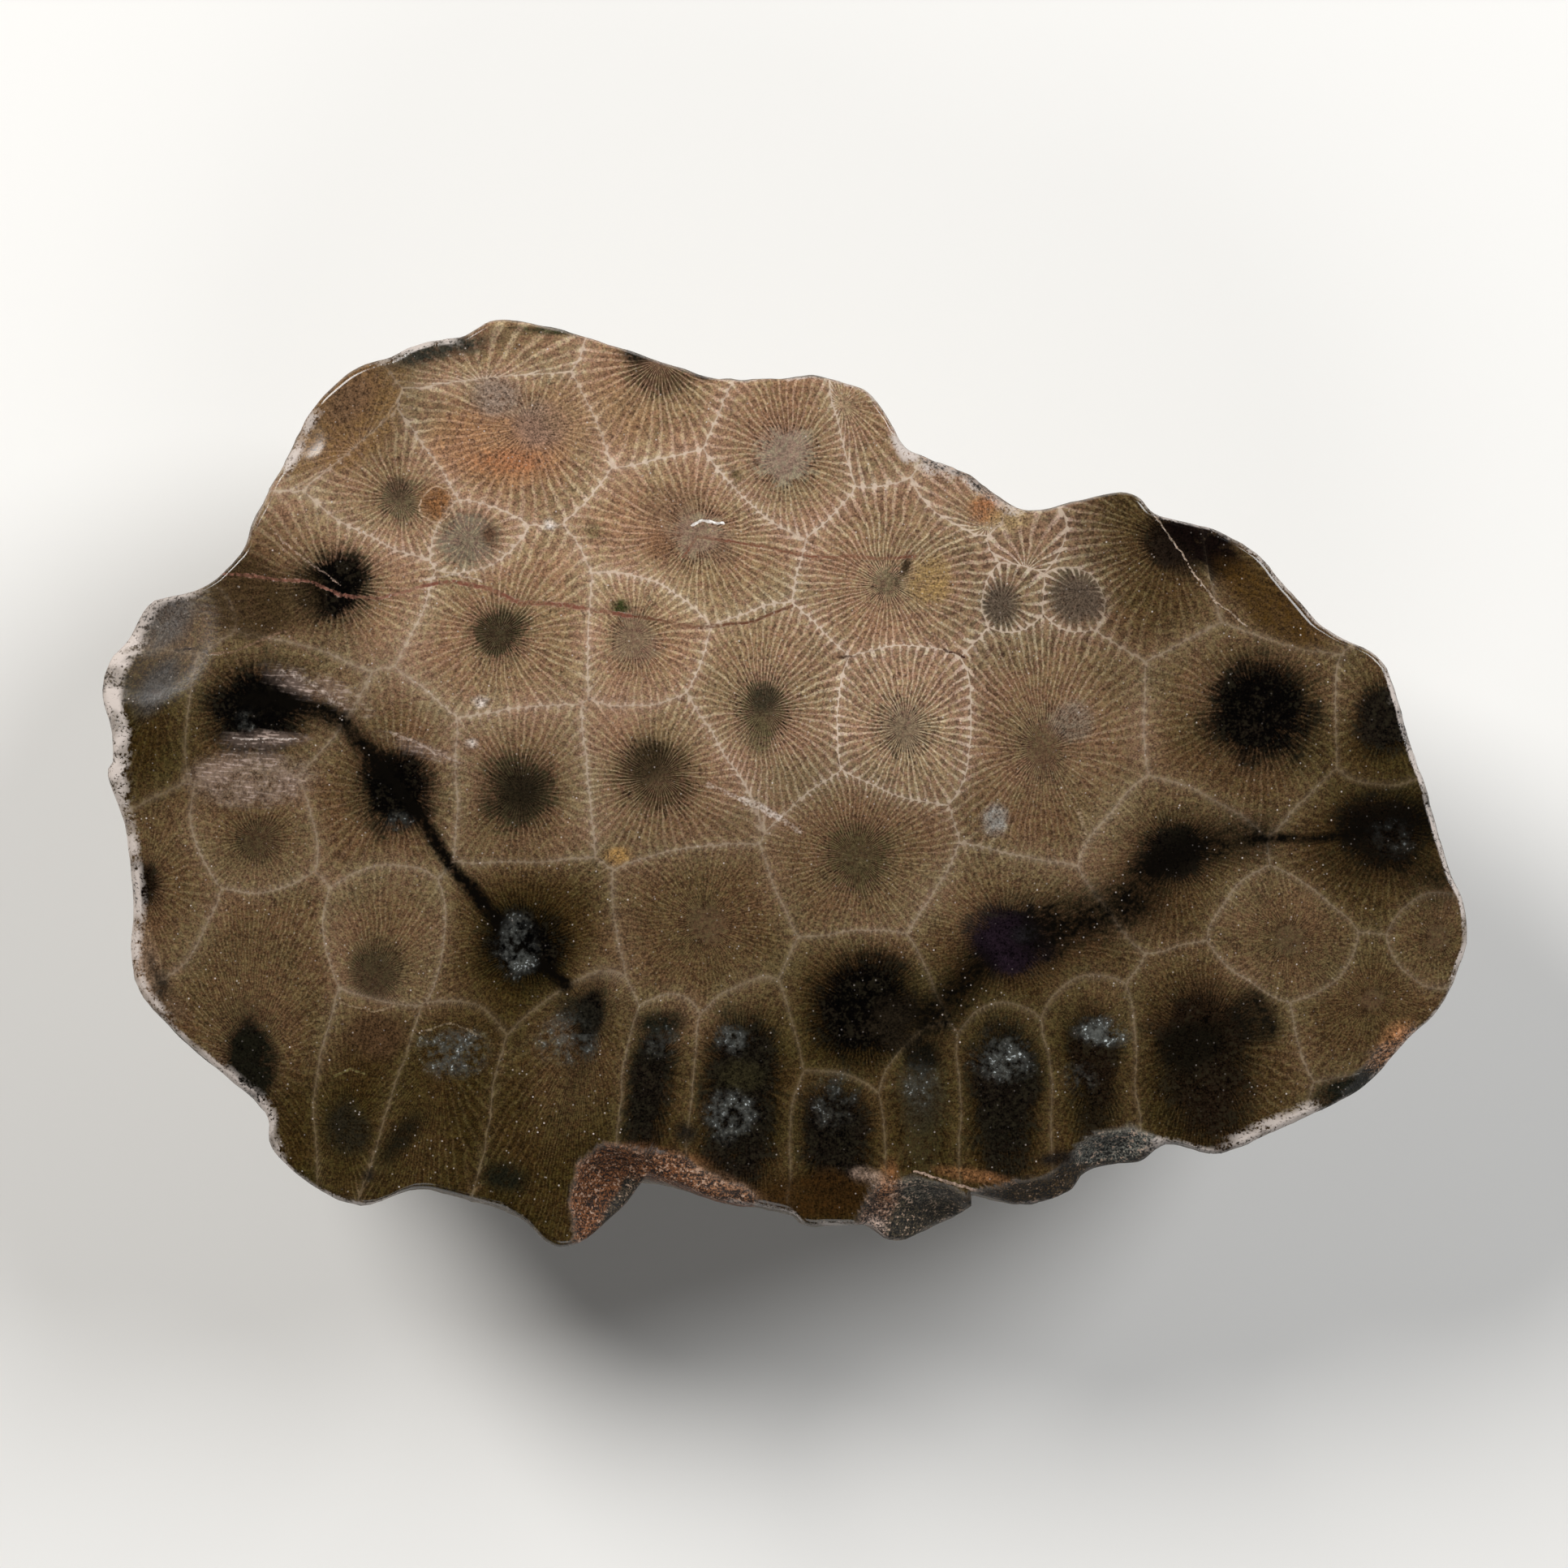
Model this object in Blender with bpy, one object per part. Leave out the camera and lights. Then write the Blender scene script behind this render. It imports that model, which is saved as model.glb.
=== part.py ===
"""A petoskey stone: a loose cobble of fossil coral, cut flat on one side.

It lies on a small worn flat of its underside with the polished face up. The scalloped
outline follows the coral's columns, which narrow downwards into a rounded, weathered base.
Metres, +Z up; the origin is under the middle of the stone, on the surface it lies on.
"""

import bmesh
import bpy
import numpy as np

# Driving dimensions, metres.
HEIGHT = 0.030
CROWN = 0.0022  # how far the polished face falls from its middle to the ends
RIM = 0.0013  # width of the worn round edge between the face and the sides
SIDE_BULGE = 0.0004  # how far the sides stand out below the face
REST_SHARE = 0.02  # share of the body's depth that wear has taken off the lowest point
BASE_SHIFT = (-0.0024, -0.0019)  # the base lies under the centre of mass
BODY_ROUNDNESS = 2.5  # exponent of the side's section: 2 is round, more is squarer
WANDER = 0.022  # share by which the sides leave that even section

SEGMENTS = 180
FACE_RINGS = 8
RIM_RINGS = 4
BODY_RINGS = 14

# The face's outline from above, millimetres from the middle, with a point where it turns.
OUTLINE_MM = {
    "left end": [(-48.3, 6.5), (-47.9, 8.8), (-46.9, 10.0), (-45.2, 12.7), (-43.5, 13.3), (-41.4, 13.7)],
    "upper left slope": [
        (-39.7, 14.9), (-38.2, 16.5), (-37.2, 19.1), (-35.3, 22.7), (-34.1, 25.4), (-31.8, 28.1), (-30.0, 29.5),
    ],
    "top left shoulder": [(-27.8, 30.1), (-25.5, 31.1), (-22.9, 31.5), (-20.1, 32.7), (-15.8, 32.0)],
    "top edge": [(-11.9, 30.8), (-6.3, 29.0), (-3.1, 28.4), (-1.2, 28.5), (2.3, 28.7), (5.0, 28.1), (6.2, 27.4)],
    "step down to the right": [
        (7.2, 26.1), (8.9, 23.4), (12.9, 21.9), (15.6, 19.8), (18.1, 19.3), (20.7, 19.9), (23.6, 20.5),
        (25.1, 20.2), (26.4, 18.9),
    ],
    "upper right slope": [(30.2, 18.0), (33.5, 16.2), (35.7, 13.7), (38.7, 10.7), (42.1, 8.9), (43.4, 6.0)],
    "right end": [
        (44.8, 1.6), (46.1, -2.5), (47.2, -6.4), (48.0, -8.0), (48.4, -9.9), (48.2, -12.3), (46.8, -15.5),
    ],
    "lower right slope": [
        (44.4, -18.0), (42.1, -20.9), (38.9, -22.7), (35.0, -24.5), (31.8, -25.9), (30.3, -26.2), (27.2, -25.5),
    ],
    "bottom right lobe": [
        (24.9, -26.7), (21.7, -27.4), (20.2, -29.0), (17.1, -29.8), (15.3, -29.6), (13.3, -28.9),
    ],
    "bottom middle lobe": [
        (13.5, -29.4), (12.9, -30.4), (11.0, -31.5), (7.8, -32.4), (5.8, -31.3), (1.8, -31.2), (0.8, -30.5),
        (-1.2, -30.0), (-4.3, -29.5), (-8.9, -27.9), (-9.7, -27.8),
    ],
    "bottom left lobe": [
        (-10.9, -29.5), (-12.3, -30.8), (-13.7, -32.1), (-15.4, -32.7), (-16.6, -32.4), (-18.3, -30.8),
        (-19.7, -30.0), (-21.2, -29.6), (-25.7, -28.6), (-28.3, -29.5), (-30.3, -29.8),
    ],
    "lower left slope": [
        (-33.5, -28.3), (-36.2, -25.8), (-36.5, -23.8), (-37.1, -22.9), (-38.1, -21.9), (-41.9, -18.7),
        (-45.0, -15.7), (-45.7, -14.6),
    ],
    "left side": [(-46.2, -12.8), (-46.1, -8.3), (-46.6, -3.5), (-47.9, 0.5), (-47.6, 1.5), (-47.7, 3.8)],
}

# Where the edge is broken or worn down: middle x and y, reach and depth, millimetres.
WORN_PLACES_MM = {
    "rounded upper left corner": (-45.6, 11.2, 4.6, 2.2),
    "chip on the upper left slope": (-34.2, 24.8, 1.8, 0.8),
    "chalky break at the step": (13.6, 22.0, 3.8, 1.1),
    "chipped corner of the right end": (42.6, -19.8, 3.4, 1.3),
    "low spot on the lower right": (22.6, -27.2, 3.6, 1.9),
    "unpolished side of the middle lobe": (11.3, -31.6, 4.3, 3.4),
    "worn edge of the middle lobe": (4.6, -31.4, 3.0, 1.2),
    "break beside the left lobe": (-11.6, -29.2, 3.9, 2.6),
}


def outline_curve(steps=12):
    """The outline as a smooth closed curve through its points, in metres."""
    points = np.array([point for stretch in OUTLINE_MM.values() for point in stretch]) / 1000
    before, after, beyond = (np.roll(points, shift, axis=0) for shift in (1, -1, -2))
    t = (np.arange(steps) / steps)[None, :, None]
    before, here, after, beyond = (p[:, None, :] for p in (before, points, after, beyond))
    curve = 0.5 * (
        2 * here
        + (after - before) * t
        + (2 * before - 5 * here + 4 * after - beyond) * t**2
        + (3 * here - before - 3 * after + beyond) * t**3
    )
    return curve.reshape(-1, 2)


def reach_of(angles):
    """Distance from the middle to the outline in each direction."""
    curve = outline_curve()
    directions = np.arctan2(curve[:, 1], curve[:, 0])
    order = np.argsort(directions)
    distances = np.hypot(curve[:, 0], curve[:, 1])[order]
    return np.interp(angles, directions[order], distances, period=2 * np.pi)


def softened_reach_of(angles, spread=0.22):
    """The same distance with the scallops worn away, as an average over nearby directions."""
    offsets = np.linspace(-2.5, 2.5, 21)
    weights = np.exp(-0.5 * offsets**2)
    total = sum(w * reach_of(angles + spread * o) for w, o in zip(weights, offsets))
    return total / weights.sum()


def smoothstep(x, low, high):
    t = np.clip((x - low) / (high - low), 0, 1)
    return t * t * (3 - 2 * t)


def worn_depth(x, y):
    """How far the worn and broken places lie below the even edge."""
    depth = np.zeros_like(x)
    for middle_x, middle_y, reach, drop in WORN_PLACES_MM.values():
        away = np.hypot(x - middle_x / 1000, y - middle_y / 1000) / (reach / 1000)
        depth += drop / 1000 * np.exp(-(away**2) * 1.6)
    return depth


def face_height(x, y):
    """Height of the polished face, a little lower towards the ends."""
    return HEIGHT - CROWN * ((x / 0.048) ** 2 * 0.75 + (y / 0.032) ** 2 * 0.25)


def stone_point(angle, ring):
    """Places of the points of one ring, counted from the crown down to the base."""
    reach = reach_of(angle)
    along = np.stack([np.cos(angle), np.sin(angle)])
    rim_start = FACE_RINGS
    body_start = FACE_RINGS + RIM_RINGS
    if ring <= rim_start:
        x, y = along * (reach - RIM) * (ring / rim_start) ** 0.85
        height = face_height(x, y) - worn_depth(x, y)
    elif ring <= body_start:
        turn = (ring - rim_start) / RIM_RINGS * np.pi / 2
        x, y = along * (reach - RIM + RIM * np.sin(turn))
        height = face_height(x, y) - worn_depth(x, y) - RIM * (1 - np.cos(turn))
    else:
        turn = ((ring - body_start) / BODY_RINGS) ** 1.25 * np.pi / 2
        across = np.cos(turn) ** (2 / BODY_ROUNDNESS)
        down = np.sin(turn) ** (2 / BODY_ROUNDNESS)
        worn = smoothstep(down, 0.0, 0.85)
        sides = reach * (1 - worn) + softened_reach_of(angle) * worn
        sides += SIDE_BULGE * np.sin(np.pi * np.clip(down / 0.35, 0, 1))
        uneven = np.sin(3 * angle + 4 * down + 0.6) + 0.7 * np.sin(5 * angle - 6 * down + 2.1)
        uneven += 0.4 * np.sin(8 * angle + 9 * down)
        sides *= 1 + WANDER * uneven * smoothstep(down, 0.05, 0.6)
        rim_x, rim_y = along * reach
        rim_height = face_height(rim_x, rim_y) - worn_depth(rim_x, rim_y) * (1 - worn) - RIM
        height = rim_height * (1 - down * (1 + REST_SHARE))
        x = along[0] * sides * across + BASE_SHIFT[0] * worn
        y = along[1] * sides * across + BASE_SHIFT[1] * worn
    return x, y, np.maximum(height, 0.0)


def make_stone():
    """A sphere's rings moved onto the stone's own sections."""
    rings = FACE_RINGS + RIM_RINGS + BODY_RINGS
    form = bmesh.new()
    bmesh.ops.create_uvsphere(form, u_segments=SEGMENTS, v_segments=rings, radius=1.0)
    for vertex in form.verts:
        angle = np.arctan2(vertex.co.y, vertex.co.x)
        ring = round(np.arccos(np.clip(vertex.co.z, -1, 1)) / np.pi * rings)
        vertex.co = stone_point(np.array(angle), ring)
    return form


def centre_over_origin(form):
    """Moves the stone sideways until the middle of its box is over the origin."""
    places = np.array([vertex.co for vertex in form.verts])
    middle = (places.min(axis=0) + places.max(axis=0)) / 2
    bmesh.ops.translate(form, verts=form.verts, vec=(-middle[0], -middle[1], 0.0))


def stone_material():
    material = bpy.data.materials.new("petoskey_stone")
    material.use_nodes = True
    surface = material.node_tree.nodes["Principled BSDF"]
    surface.inputs["Base Color"].default_value = (0.17, 0.115, 0.07, 1.0)
    surface.inputs["Roughness"].default_value = 0.35
    surface.inputs["Metallic"].default_value = 0.0
    return material


def main():
    for item in list(bpy.data.objects):
        bpy.data.objects.remove(item)
    form = make_stone()
    centre_over_origin(form)
    flat_spot = [face for face in form.faces if max(v.co.z for v in face.verts) < 1e-7]
    bmesh.ops.dissolve_faces(form, faces=flat_spot, use_verts=True)
    bmesh.ops.recalc_face_normals(form, faces=form.faces)
    mesh = bpy.data.meshes.new("petoskey_stone")
    form.to_mesh(mesh)
    form.free()
    mesh.shade_smooth()
    mesh.set_sharp_from_angle(angle=np.radians(50))
    mesh.materials.append(stone_material())
    stone = bpy.data.objects.new("petoskey_stone", mesh)
    collection = bpy.data.collections.new("petoskey_stone")
    bpy.context.scene.collection.children.link(collection)
    collection.objects.link(stone)


main()
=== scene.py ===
"""A petoskey stone: fossil coral, cut and polished, lying face up on a pale table.

One fine stone replaces the plain solid, with the same outline and sections. Its coral is
worked out from a list of the columns that the polished face cuts across. Lengths are metres,
or millimetres where a name ends in _MM. Places are from the middle of the stone, seen from
above with +X to the right and +Y up the picture.
"""

import bmesh
import bpy
import numpy as np
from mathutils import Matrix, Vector


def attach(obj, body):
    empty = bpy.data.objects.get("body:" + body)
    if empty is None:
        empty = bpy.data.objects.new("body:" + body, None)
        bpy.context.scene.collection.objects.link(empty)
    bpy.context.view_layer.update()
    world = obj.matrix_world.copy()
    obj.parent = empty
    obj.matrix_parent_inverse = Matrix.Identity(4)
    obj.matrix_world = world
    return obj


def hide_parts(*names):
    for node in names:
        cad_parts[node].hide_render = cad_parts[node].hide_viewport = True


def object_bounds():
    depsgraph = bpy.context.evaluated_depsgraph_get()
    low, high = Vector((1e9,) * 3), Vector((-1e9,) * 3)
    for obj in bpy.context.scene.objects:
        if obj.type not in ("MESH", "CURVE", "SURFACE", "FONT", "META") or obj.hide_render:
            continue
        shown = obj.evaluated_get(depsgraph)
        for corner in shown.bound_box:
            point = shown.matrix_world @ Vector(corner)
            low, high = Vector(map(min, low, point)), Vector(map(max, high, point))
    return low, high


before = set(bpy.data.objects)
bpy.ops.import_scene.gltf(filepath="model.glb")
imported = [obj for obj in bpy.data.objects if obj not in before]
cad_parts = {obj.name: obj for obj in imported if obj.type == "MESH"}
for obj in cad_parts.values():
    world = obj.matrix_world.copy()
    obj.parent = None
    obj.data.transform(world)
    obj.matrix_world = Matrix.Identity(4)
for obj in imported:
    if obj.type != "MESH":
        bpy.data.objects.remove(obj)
cad_box = [list(corner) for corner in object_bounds()]

MM = 0.001
HEIGHT = cad_box[1][2]
FACE_HALF = (0.048, 0.032)  # half the face's length and width
CROWN = 0.0022  # how far the polished face falls from its middle to the ends
RIM = 0.0006  # mean width of the worn round edge; the solid's is a little wider
RIM_UNEVENNESS = 0.45  # share by which that width varies
EDGE_RAGGEDNESS = 0.16 * MM
SIDE_BULGE = 0.0004  # how far the sides stand out below the face
REST_SHARE = 0.02  # share of the body's depth that wear has taken off the lowest point
BASE_SHIFT = (-0.0024, -0.0019)
BODY_ROUNDNESS = 2.5  # exponent of the side's section: 2 is round, more is squarer
WANDER = 0.022  # share by which the sides leave that even section
LUMP_HEIGHT = 0.22 * MM  # of the unpolished stone, as are the next two
GRIT_HEIGHT = 0.09 * MM
PIT_DEPTH = 0.30 * MM

SEGMENTS = 600
FACE_RINGS = 86
RIM_RINGS = 12
BODY_RINGS = 62
RINGS = FACE_RINGS + RIM_RINGS + BODY_RINGS

# The bake map: its margin, how high the strip of the sides lies on it, and the rings round the
# lowest point that it shows from below, with their scale.
MAP_MARGIN = 0.004
MAP_STRIP = (0.185, 0.315)
MAP_BASE_RINGS = 26
MAP_BASE_SCALE = 0.0037 / MM

# A seed for each random field. A field of steps in x and y takes the next number too.
SEEDS = {
    "rim width": 1, "ragged edge": 2, "lumps": 3, "grit": 4, "pits": 5, "sway": 6, "small sway": 8,
    "tone": 10, "vein width": 11, "chalk width": 12, "chalk line": 13, "ragged patches": 14,
    "crispness": 16, "ragged breaks": 17, "gaps in chalk": 19, "stains astray": 20, "ragged depth": 22,
}
OUTER_COLUMNS_SEED = 7

# The face's outline, with a point where it turns.
OUTLINE_MM = {
    "left end": [(-48.3, 6.5), (-47.9, 8.8), (-46.9, 10.0), (-45.2, 12.7), (-43.5, 13.3), (-41.4, 13.7)],
    "upper left slope": [
        (-39.7, 14.9), (-38.2, 16.5), (-37.2, 19.1), (-35.3, 22.7), (-34.1, 25.4), (-31.8, 28.1),
        (-30.0, 29.5),
    ],
    "top left shoulder": [(-27.8, 30.1), (-25.5, 31.1), (-22.9, 31.5), (-20.1, 32.7), (-15.8, 32.0)],
    "top edge": [
        (-11.9, 30.8), (-6.3, 29.0), (-3.1, 28.4), (-1.2, 28.5), (2.3, 28.7), (5.0, 28.1), (6.2, 27.4),
    ],
    "step down to the right": [
        (7.2, 26.1), (8.9, 23.4), (12.9, 21.9), (15.6, 19.8), (18.1, 19.3), (20.7, 19.9), (23.6, 20.5),
        (25.1, 20.2), (26.4, 18.9),
    ],
    "upper right slope": [(30.2, 18.0), (33.5, 16.2), (35.7, 13.7), (38.7, 10.7), (42.1, 8.9), (43.4, 6.0)],
    "right end": [
        (44.8, 1.6), (46.1, -2.5), (47.2, -6.4), (48.0, -8.0), (48.4, -9.9), (48.2, -12.3), (46.8, -15.5),
    ],
    "lower right slope": [
        (44.4, -18.0), (42.1, -20.9), (38.9, -22.7), (35.0, -24.5), (31.8, -25.9), (30.3, -26.2),
        (27.2, -25.5),
    ],
    "bottom right lobe": [
        (24.9, -26.7), (21.7, -27.4), (20.2, -29.0), (17.1, -29.8), (15.3, -29.6), (13.3, -28.9),
    ],
    "bottom middle lobe": [
        (13.5, -29.4), (12.9, -30.4), (11.0, -31.5), (7.8, -32.4), (5.8, -31.3), (1.8, -31.2), (0.8, -30.5),
        (-1.2, -30.0), (-4.3, -29.5), (-8.9, -27.9), (-9.7, -27.8),
    ],
    "bottom left lobe": [
        (-10.9, -29.5), (-12.3, -30.8), (-13.7, -32.1), (-15.4, -32.7), (-16.6, -32.4), (-18.3, -30.8),
        (-19.7, -30.0), (-21.2, -29.6), (-25.7, -28.6), (-28.3, -29.5), (-30.3, -29.8),
    ],
    "lower left slope": [
        (-33.5, -28.3), (-36.2, -25.8), (-36.5, -23.8), (-37.1, -22.9), (-38.1, -21.9), (-41.9, -18.7),
        (-45.0, -15.7), (-45.7, -14.6),
    ],
    "left side": [(-46.2, -12.8), (-46.1, -8.3), (-46.6, -3.5), (-47.9, 0.5), (-47.6, 1.5), (-47.7, 3.8)],
}

# Where the edge is broken or worn down: middle x and y, reach, depth, and 1 where only the broken
# places below take part in it.
WORN_PLACES_MM = {
    "rounded upper left corner": (-45.6, 11.2, 4.6, 2.2, 0),
    "chip on the upper left slope": (-34.2, 24.8, 1.8, 0.8, 0),
    "chalky break at the step": (13.6, 22.0, 3.8, 1.1, 1),
    "chipped corner of the right end": (42.6, -19.8, 3.4, 1.3, 1),
    "low spot on the lower right": (22.6, -27.2, 3.6, 1.9, 1),
    "ledge beside it": (17.4, -29.6, 3.0, 1.0, 1),
    "unpolished side of the middle lobe": (11.3, -31.6, 4.3, 3.4, 1),
    "worn edge of the middle lobe": (4.6, -31.4, 3.0, 1.2, 1),
    "break beside the left lobe": (-11.6, -29.2, 3.9, 2.6, 1),
}

# The colour at the heart of a column, once worn flat.
EYE_COLOURS = {
    "none": (0.10, 0.07, 0.04),
    "black": (0.0014, 0.0009, 0.0006),
    "brown black": (0.0105, 0.0062, 0.003),
    "greenish black": (0.0075, 0.0056, 0.0035),
    "purple black": (0.009, 0.006, 0.007),
    "dark grey": (0.088, 0.062, 0.041),
    "grey olive": (0.082, 0.064, 0.036),
    "brown": (0.086, 0.055, 0.029),
    "dark brown": (0.030, 0.018, 0.008),
    "brown grey": (0.160, 0.102, 0.070),
    "olive": (0.040, 0.030, 0.013),
    "grey": (0.165, 0.128, 0.098),
    "pale grey": (0.25, 0.195, 0.150),
    "tan": (0.235, 0.170, 0.122),
    "deep brown": (0.045, 0.029, 0.015),
    "dark olive": (0.020, 0.017, 0.008),
}

# Each column of coral: middle x and y, half width, half height, lean in degrees and how much its
# own oval shapes its walls (1 is a plain many-sided cell); then its eye: x and y, share of the
# column that it fills, and colour.
COLUMNS_MM = [
    (-9.2, 28, 4.7, 4.8, 0, 1, -8.7, 29.8, 0.46, "deep brown"),
    (-0.2, 22.9, 4.9, 5.7, 0, 1.3, 0.1, 23.1, 0.34, "pale grey"),
    (6.3, 24.8, 2.9, 3.9, 15, 1, 4.3, 26.8, 0, "none"),
    (-19.4, 24.2, 6, 4.6, 0, 1.2, -18, 25, 0.22, "brown grey"),
    (-27.8, 20.2, 4.7, 4.3, 0, 1, -27.1, 19.9, 0.30, "grey olive"),
    (-22, 17.4, 2.9, 2.6, 0, 1, -22.3, 17.3, 0.66, "grey"),
    (-31.9, 14.5, 6, 4.8, 0, 1, -31.8, 13.8, 0.45, "black"),
    (-19.3, 10.6, 5.6, 5.4, 0, 1, -20.0, 10.6, 0.3, "dark olive"),
    (-9.7, 10.2, 4.2, 5, 0, 1.1, -10.5, 10.1, 0.34, "brown grey"),
    (-5.4, 17.3, 6.5, 5.5, 0, 1, -6.1, 17.3, 0.28, "tan"),
    (8, 15, 6.5, 5.6, 0, 1, 7.2, 14.2, 0.14, "grey olive"),
    (16.2, 13.2, 2.2, 2.5, 0, 1.2, 15.4, 12.6, 0.5, "dark grey"),
    (20.8, 13, 2.6, 2.4, 0, 1.2, 20.8, 13.4, 0.7, "dark grey"),
    (17.2, 17.2, 2.6, 2.2, 0, 1, 17, 15, 0, "none"),
    (12.4, 19.9, 3.2, 2, -30, 1, 14.3, 18.2, 0, "none"),
    (25.8, 14.9, 6.2, 5.1, 0, 1, 27.4, 17.2, 0.3, "brown black"),
    (33.4, 14.6, 6.2, 3.6, -42, 1, 29, 15.9, 0.35, "brown black"),
    (32.3, 4, 6.7, 6.9, 0, 1.1, 33.6, 5.1, 0.51, "black"),
    (42.2, 3.8, 3.3, 4.9, 0, 1, 42.6, 4.4, 0.52, "greenish black"),
    (19.1, 3, 6.2, 8.4, 0, 1, 18.2, 2.5, 0.2, "brown"),
    (8.45, 4.2, 5.1, 5.7, 0, 2, 8.5, 3.9, 0.26, "brown grey"),
    (-1.3, 4.9, 5.3, 6.8, 0, 1, -1.4, 5.2, 0.26, "olive"),
    (-8.1, 0.4, 6.6, 5.6, 0, 1, -9, 0.6, 0.38, "dark brown"),
    (-18.1, -0.2, 5.1, 5.5, 0, 1, -18.7, -0.6, 0.44, "dark olive"),
    (-28.2, -0.2, 5.2, 5.7, 0, 1, -27.4, -0.6, 0.46, "black"),
    (-36.4, 5, 5.6, 4.4, 12, 1, -37.1, 5.3, 0.62, "black"),
    (-37.5, -3.2, 4.2, 4.6, -14, 1.6, -37.3, -4.1, 0.32, "deep brown"),
    (-45, 4.6, 2.9, 5, -12, 1, -44.4, 6.7, 0.25, "dark grey"),
    (-43.4, -7.3, 3.3, 5.4, 0, 1, -45.2, -7.2, 0.3, "brown black"),
    (-37.5, -18.1, 5.4, 10.2, 0, 1, -37.8, -19.4, 0.24, "greenish black"),
    (-27.9, -10.7, 4.1, 5.2, 0, 2.2, -28.6, -13.7, 0.32, "deep brown"),
    (-17.8, -11.4, 6.1, 5.8, 0, 1, -18.3, -11.4, 0.44, "black"),
    (-5.9, -9.9, 5.7, 5.7, 0, 1.2, -5.4, -10, 0.2, "brown"),
    (5.2, -5.3, 5.9, 5.8, 0, 1.5, 5.3, -5.2, 0.36, "olive"),
    (16.6, -10.6, 6.9, 5.3, 0, 1, 16, -11, 0.42, "purple black"),
    (27.4, -5.3, 6.2, 5.8, 0, 1.5, 27.4, -4.9, 0.36, "greenish black"),
    (41.1, -4.2, 5.7, 5.1, 0, 1, 42.3, -3.3, 0.5, "brown black"),
    (35.0, -10.8, 5.6, 4.3, -28, 2.8, 35.6, -11.0, 0.2, "brown"),
    (45.9, -11.2, 2.8, 3.3, 0, 1.8, 46.2, -10.8, 0.3, "brown"),
    (5.25, -15.4, 5.05, 5.5, 0, 1.6, 5.7, -15.9, 0.66, "black"),
    (-8.7, -19.7, 2.5, 5.2, -14, 2, -9.2, -20.4, 0.6, "greenish black"),
    (-2.5, -19.7, 3.6, 6.2, -4, 2, -2.9, -20.8, 0.66, "greenish black"),
    (3.55, -24, 3.3, 3.9, 0, 2, 3.6, -24.0, 0.68, "greenish black"),
    (9.8, -21.4, 2.6, 4.3, 0, 2, 9.8, -21.4, 0.6, "olive"),
    (15.6, -20.3, 3.2, 5.05, 2, 2, 15.5, -20.4, 0.7, "greenish black"),
    (21.8, -18.6, 3.5, 5.4, 8, 2, 21.8, -19.0, 0.5, "brown black"),
    (30.2, -18.6, 5.9, 6.7, 12, 1.4, 29.6, -18.2, 0.52, "brown black"),
    (41.1, -16.5, 5.2, 4.5, 0, 1, 41.7, -15.2, 0.15, "brown"),
    (-29.9, -19.8, 3.2, 5.6, -16, 1.1, -31.2, -24.1, 0, "none"),
    (-24.6, -22.2, 3.3, 7.2, -30, 1.1, -24.0, -18.8, 0, "none"),
    (-15.6, -20.6, 4.5, 8.6, -16, 1.8, -13.6, -16, 0.2, "greenish black"),
    (-43.7, 11.8, 3.6, 2.3, 0, 1, -44.5, 11.6, 0, "none"),
    (-21, 30.8, 5.5, 2.4, 0, 1, -21, 28, 0, "none"),
    (-32.5, 25.7, 4.3, 2.9, 48, 1, -30.2, 23.4, 0, "none"),
]
OUTER_SPACING_MM = 9.5  # columns that only the sides and the underside show
OUTER_SHIFT_MM = 1.6  # how far each is from its even place at most
OUTER_SIZES = (0.85, 1.1)
OUTER_EYES = (0.25, 0.45)
NEAREST = 4  # columns that each small face of the mesh knows
LOWEST_ROW_MM = -18.0  # columns with their middle below this trail away downwards
TRAIL = 0.5  # their measure below the middle, as a share of that above it
PLATES_PER_MM = (4.7, 7.6)  # half the radial plates for each millimetre of radius, above and below
GROWTH_DEPTH_MM = 110.0  # the columns narrow towards a point this far below the face
GROWTH_CENTRE_MM = (-2.0, 4.0)

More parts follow.
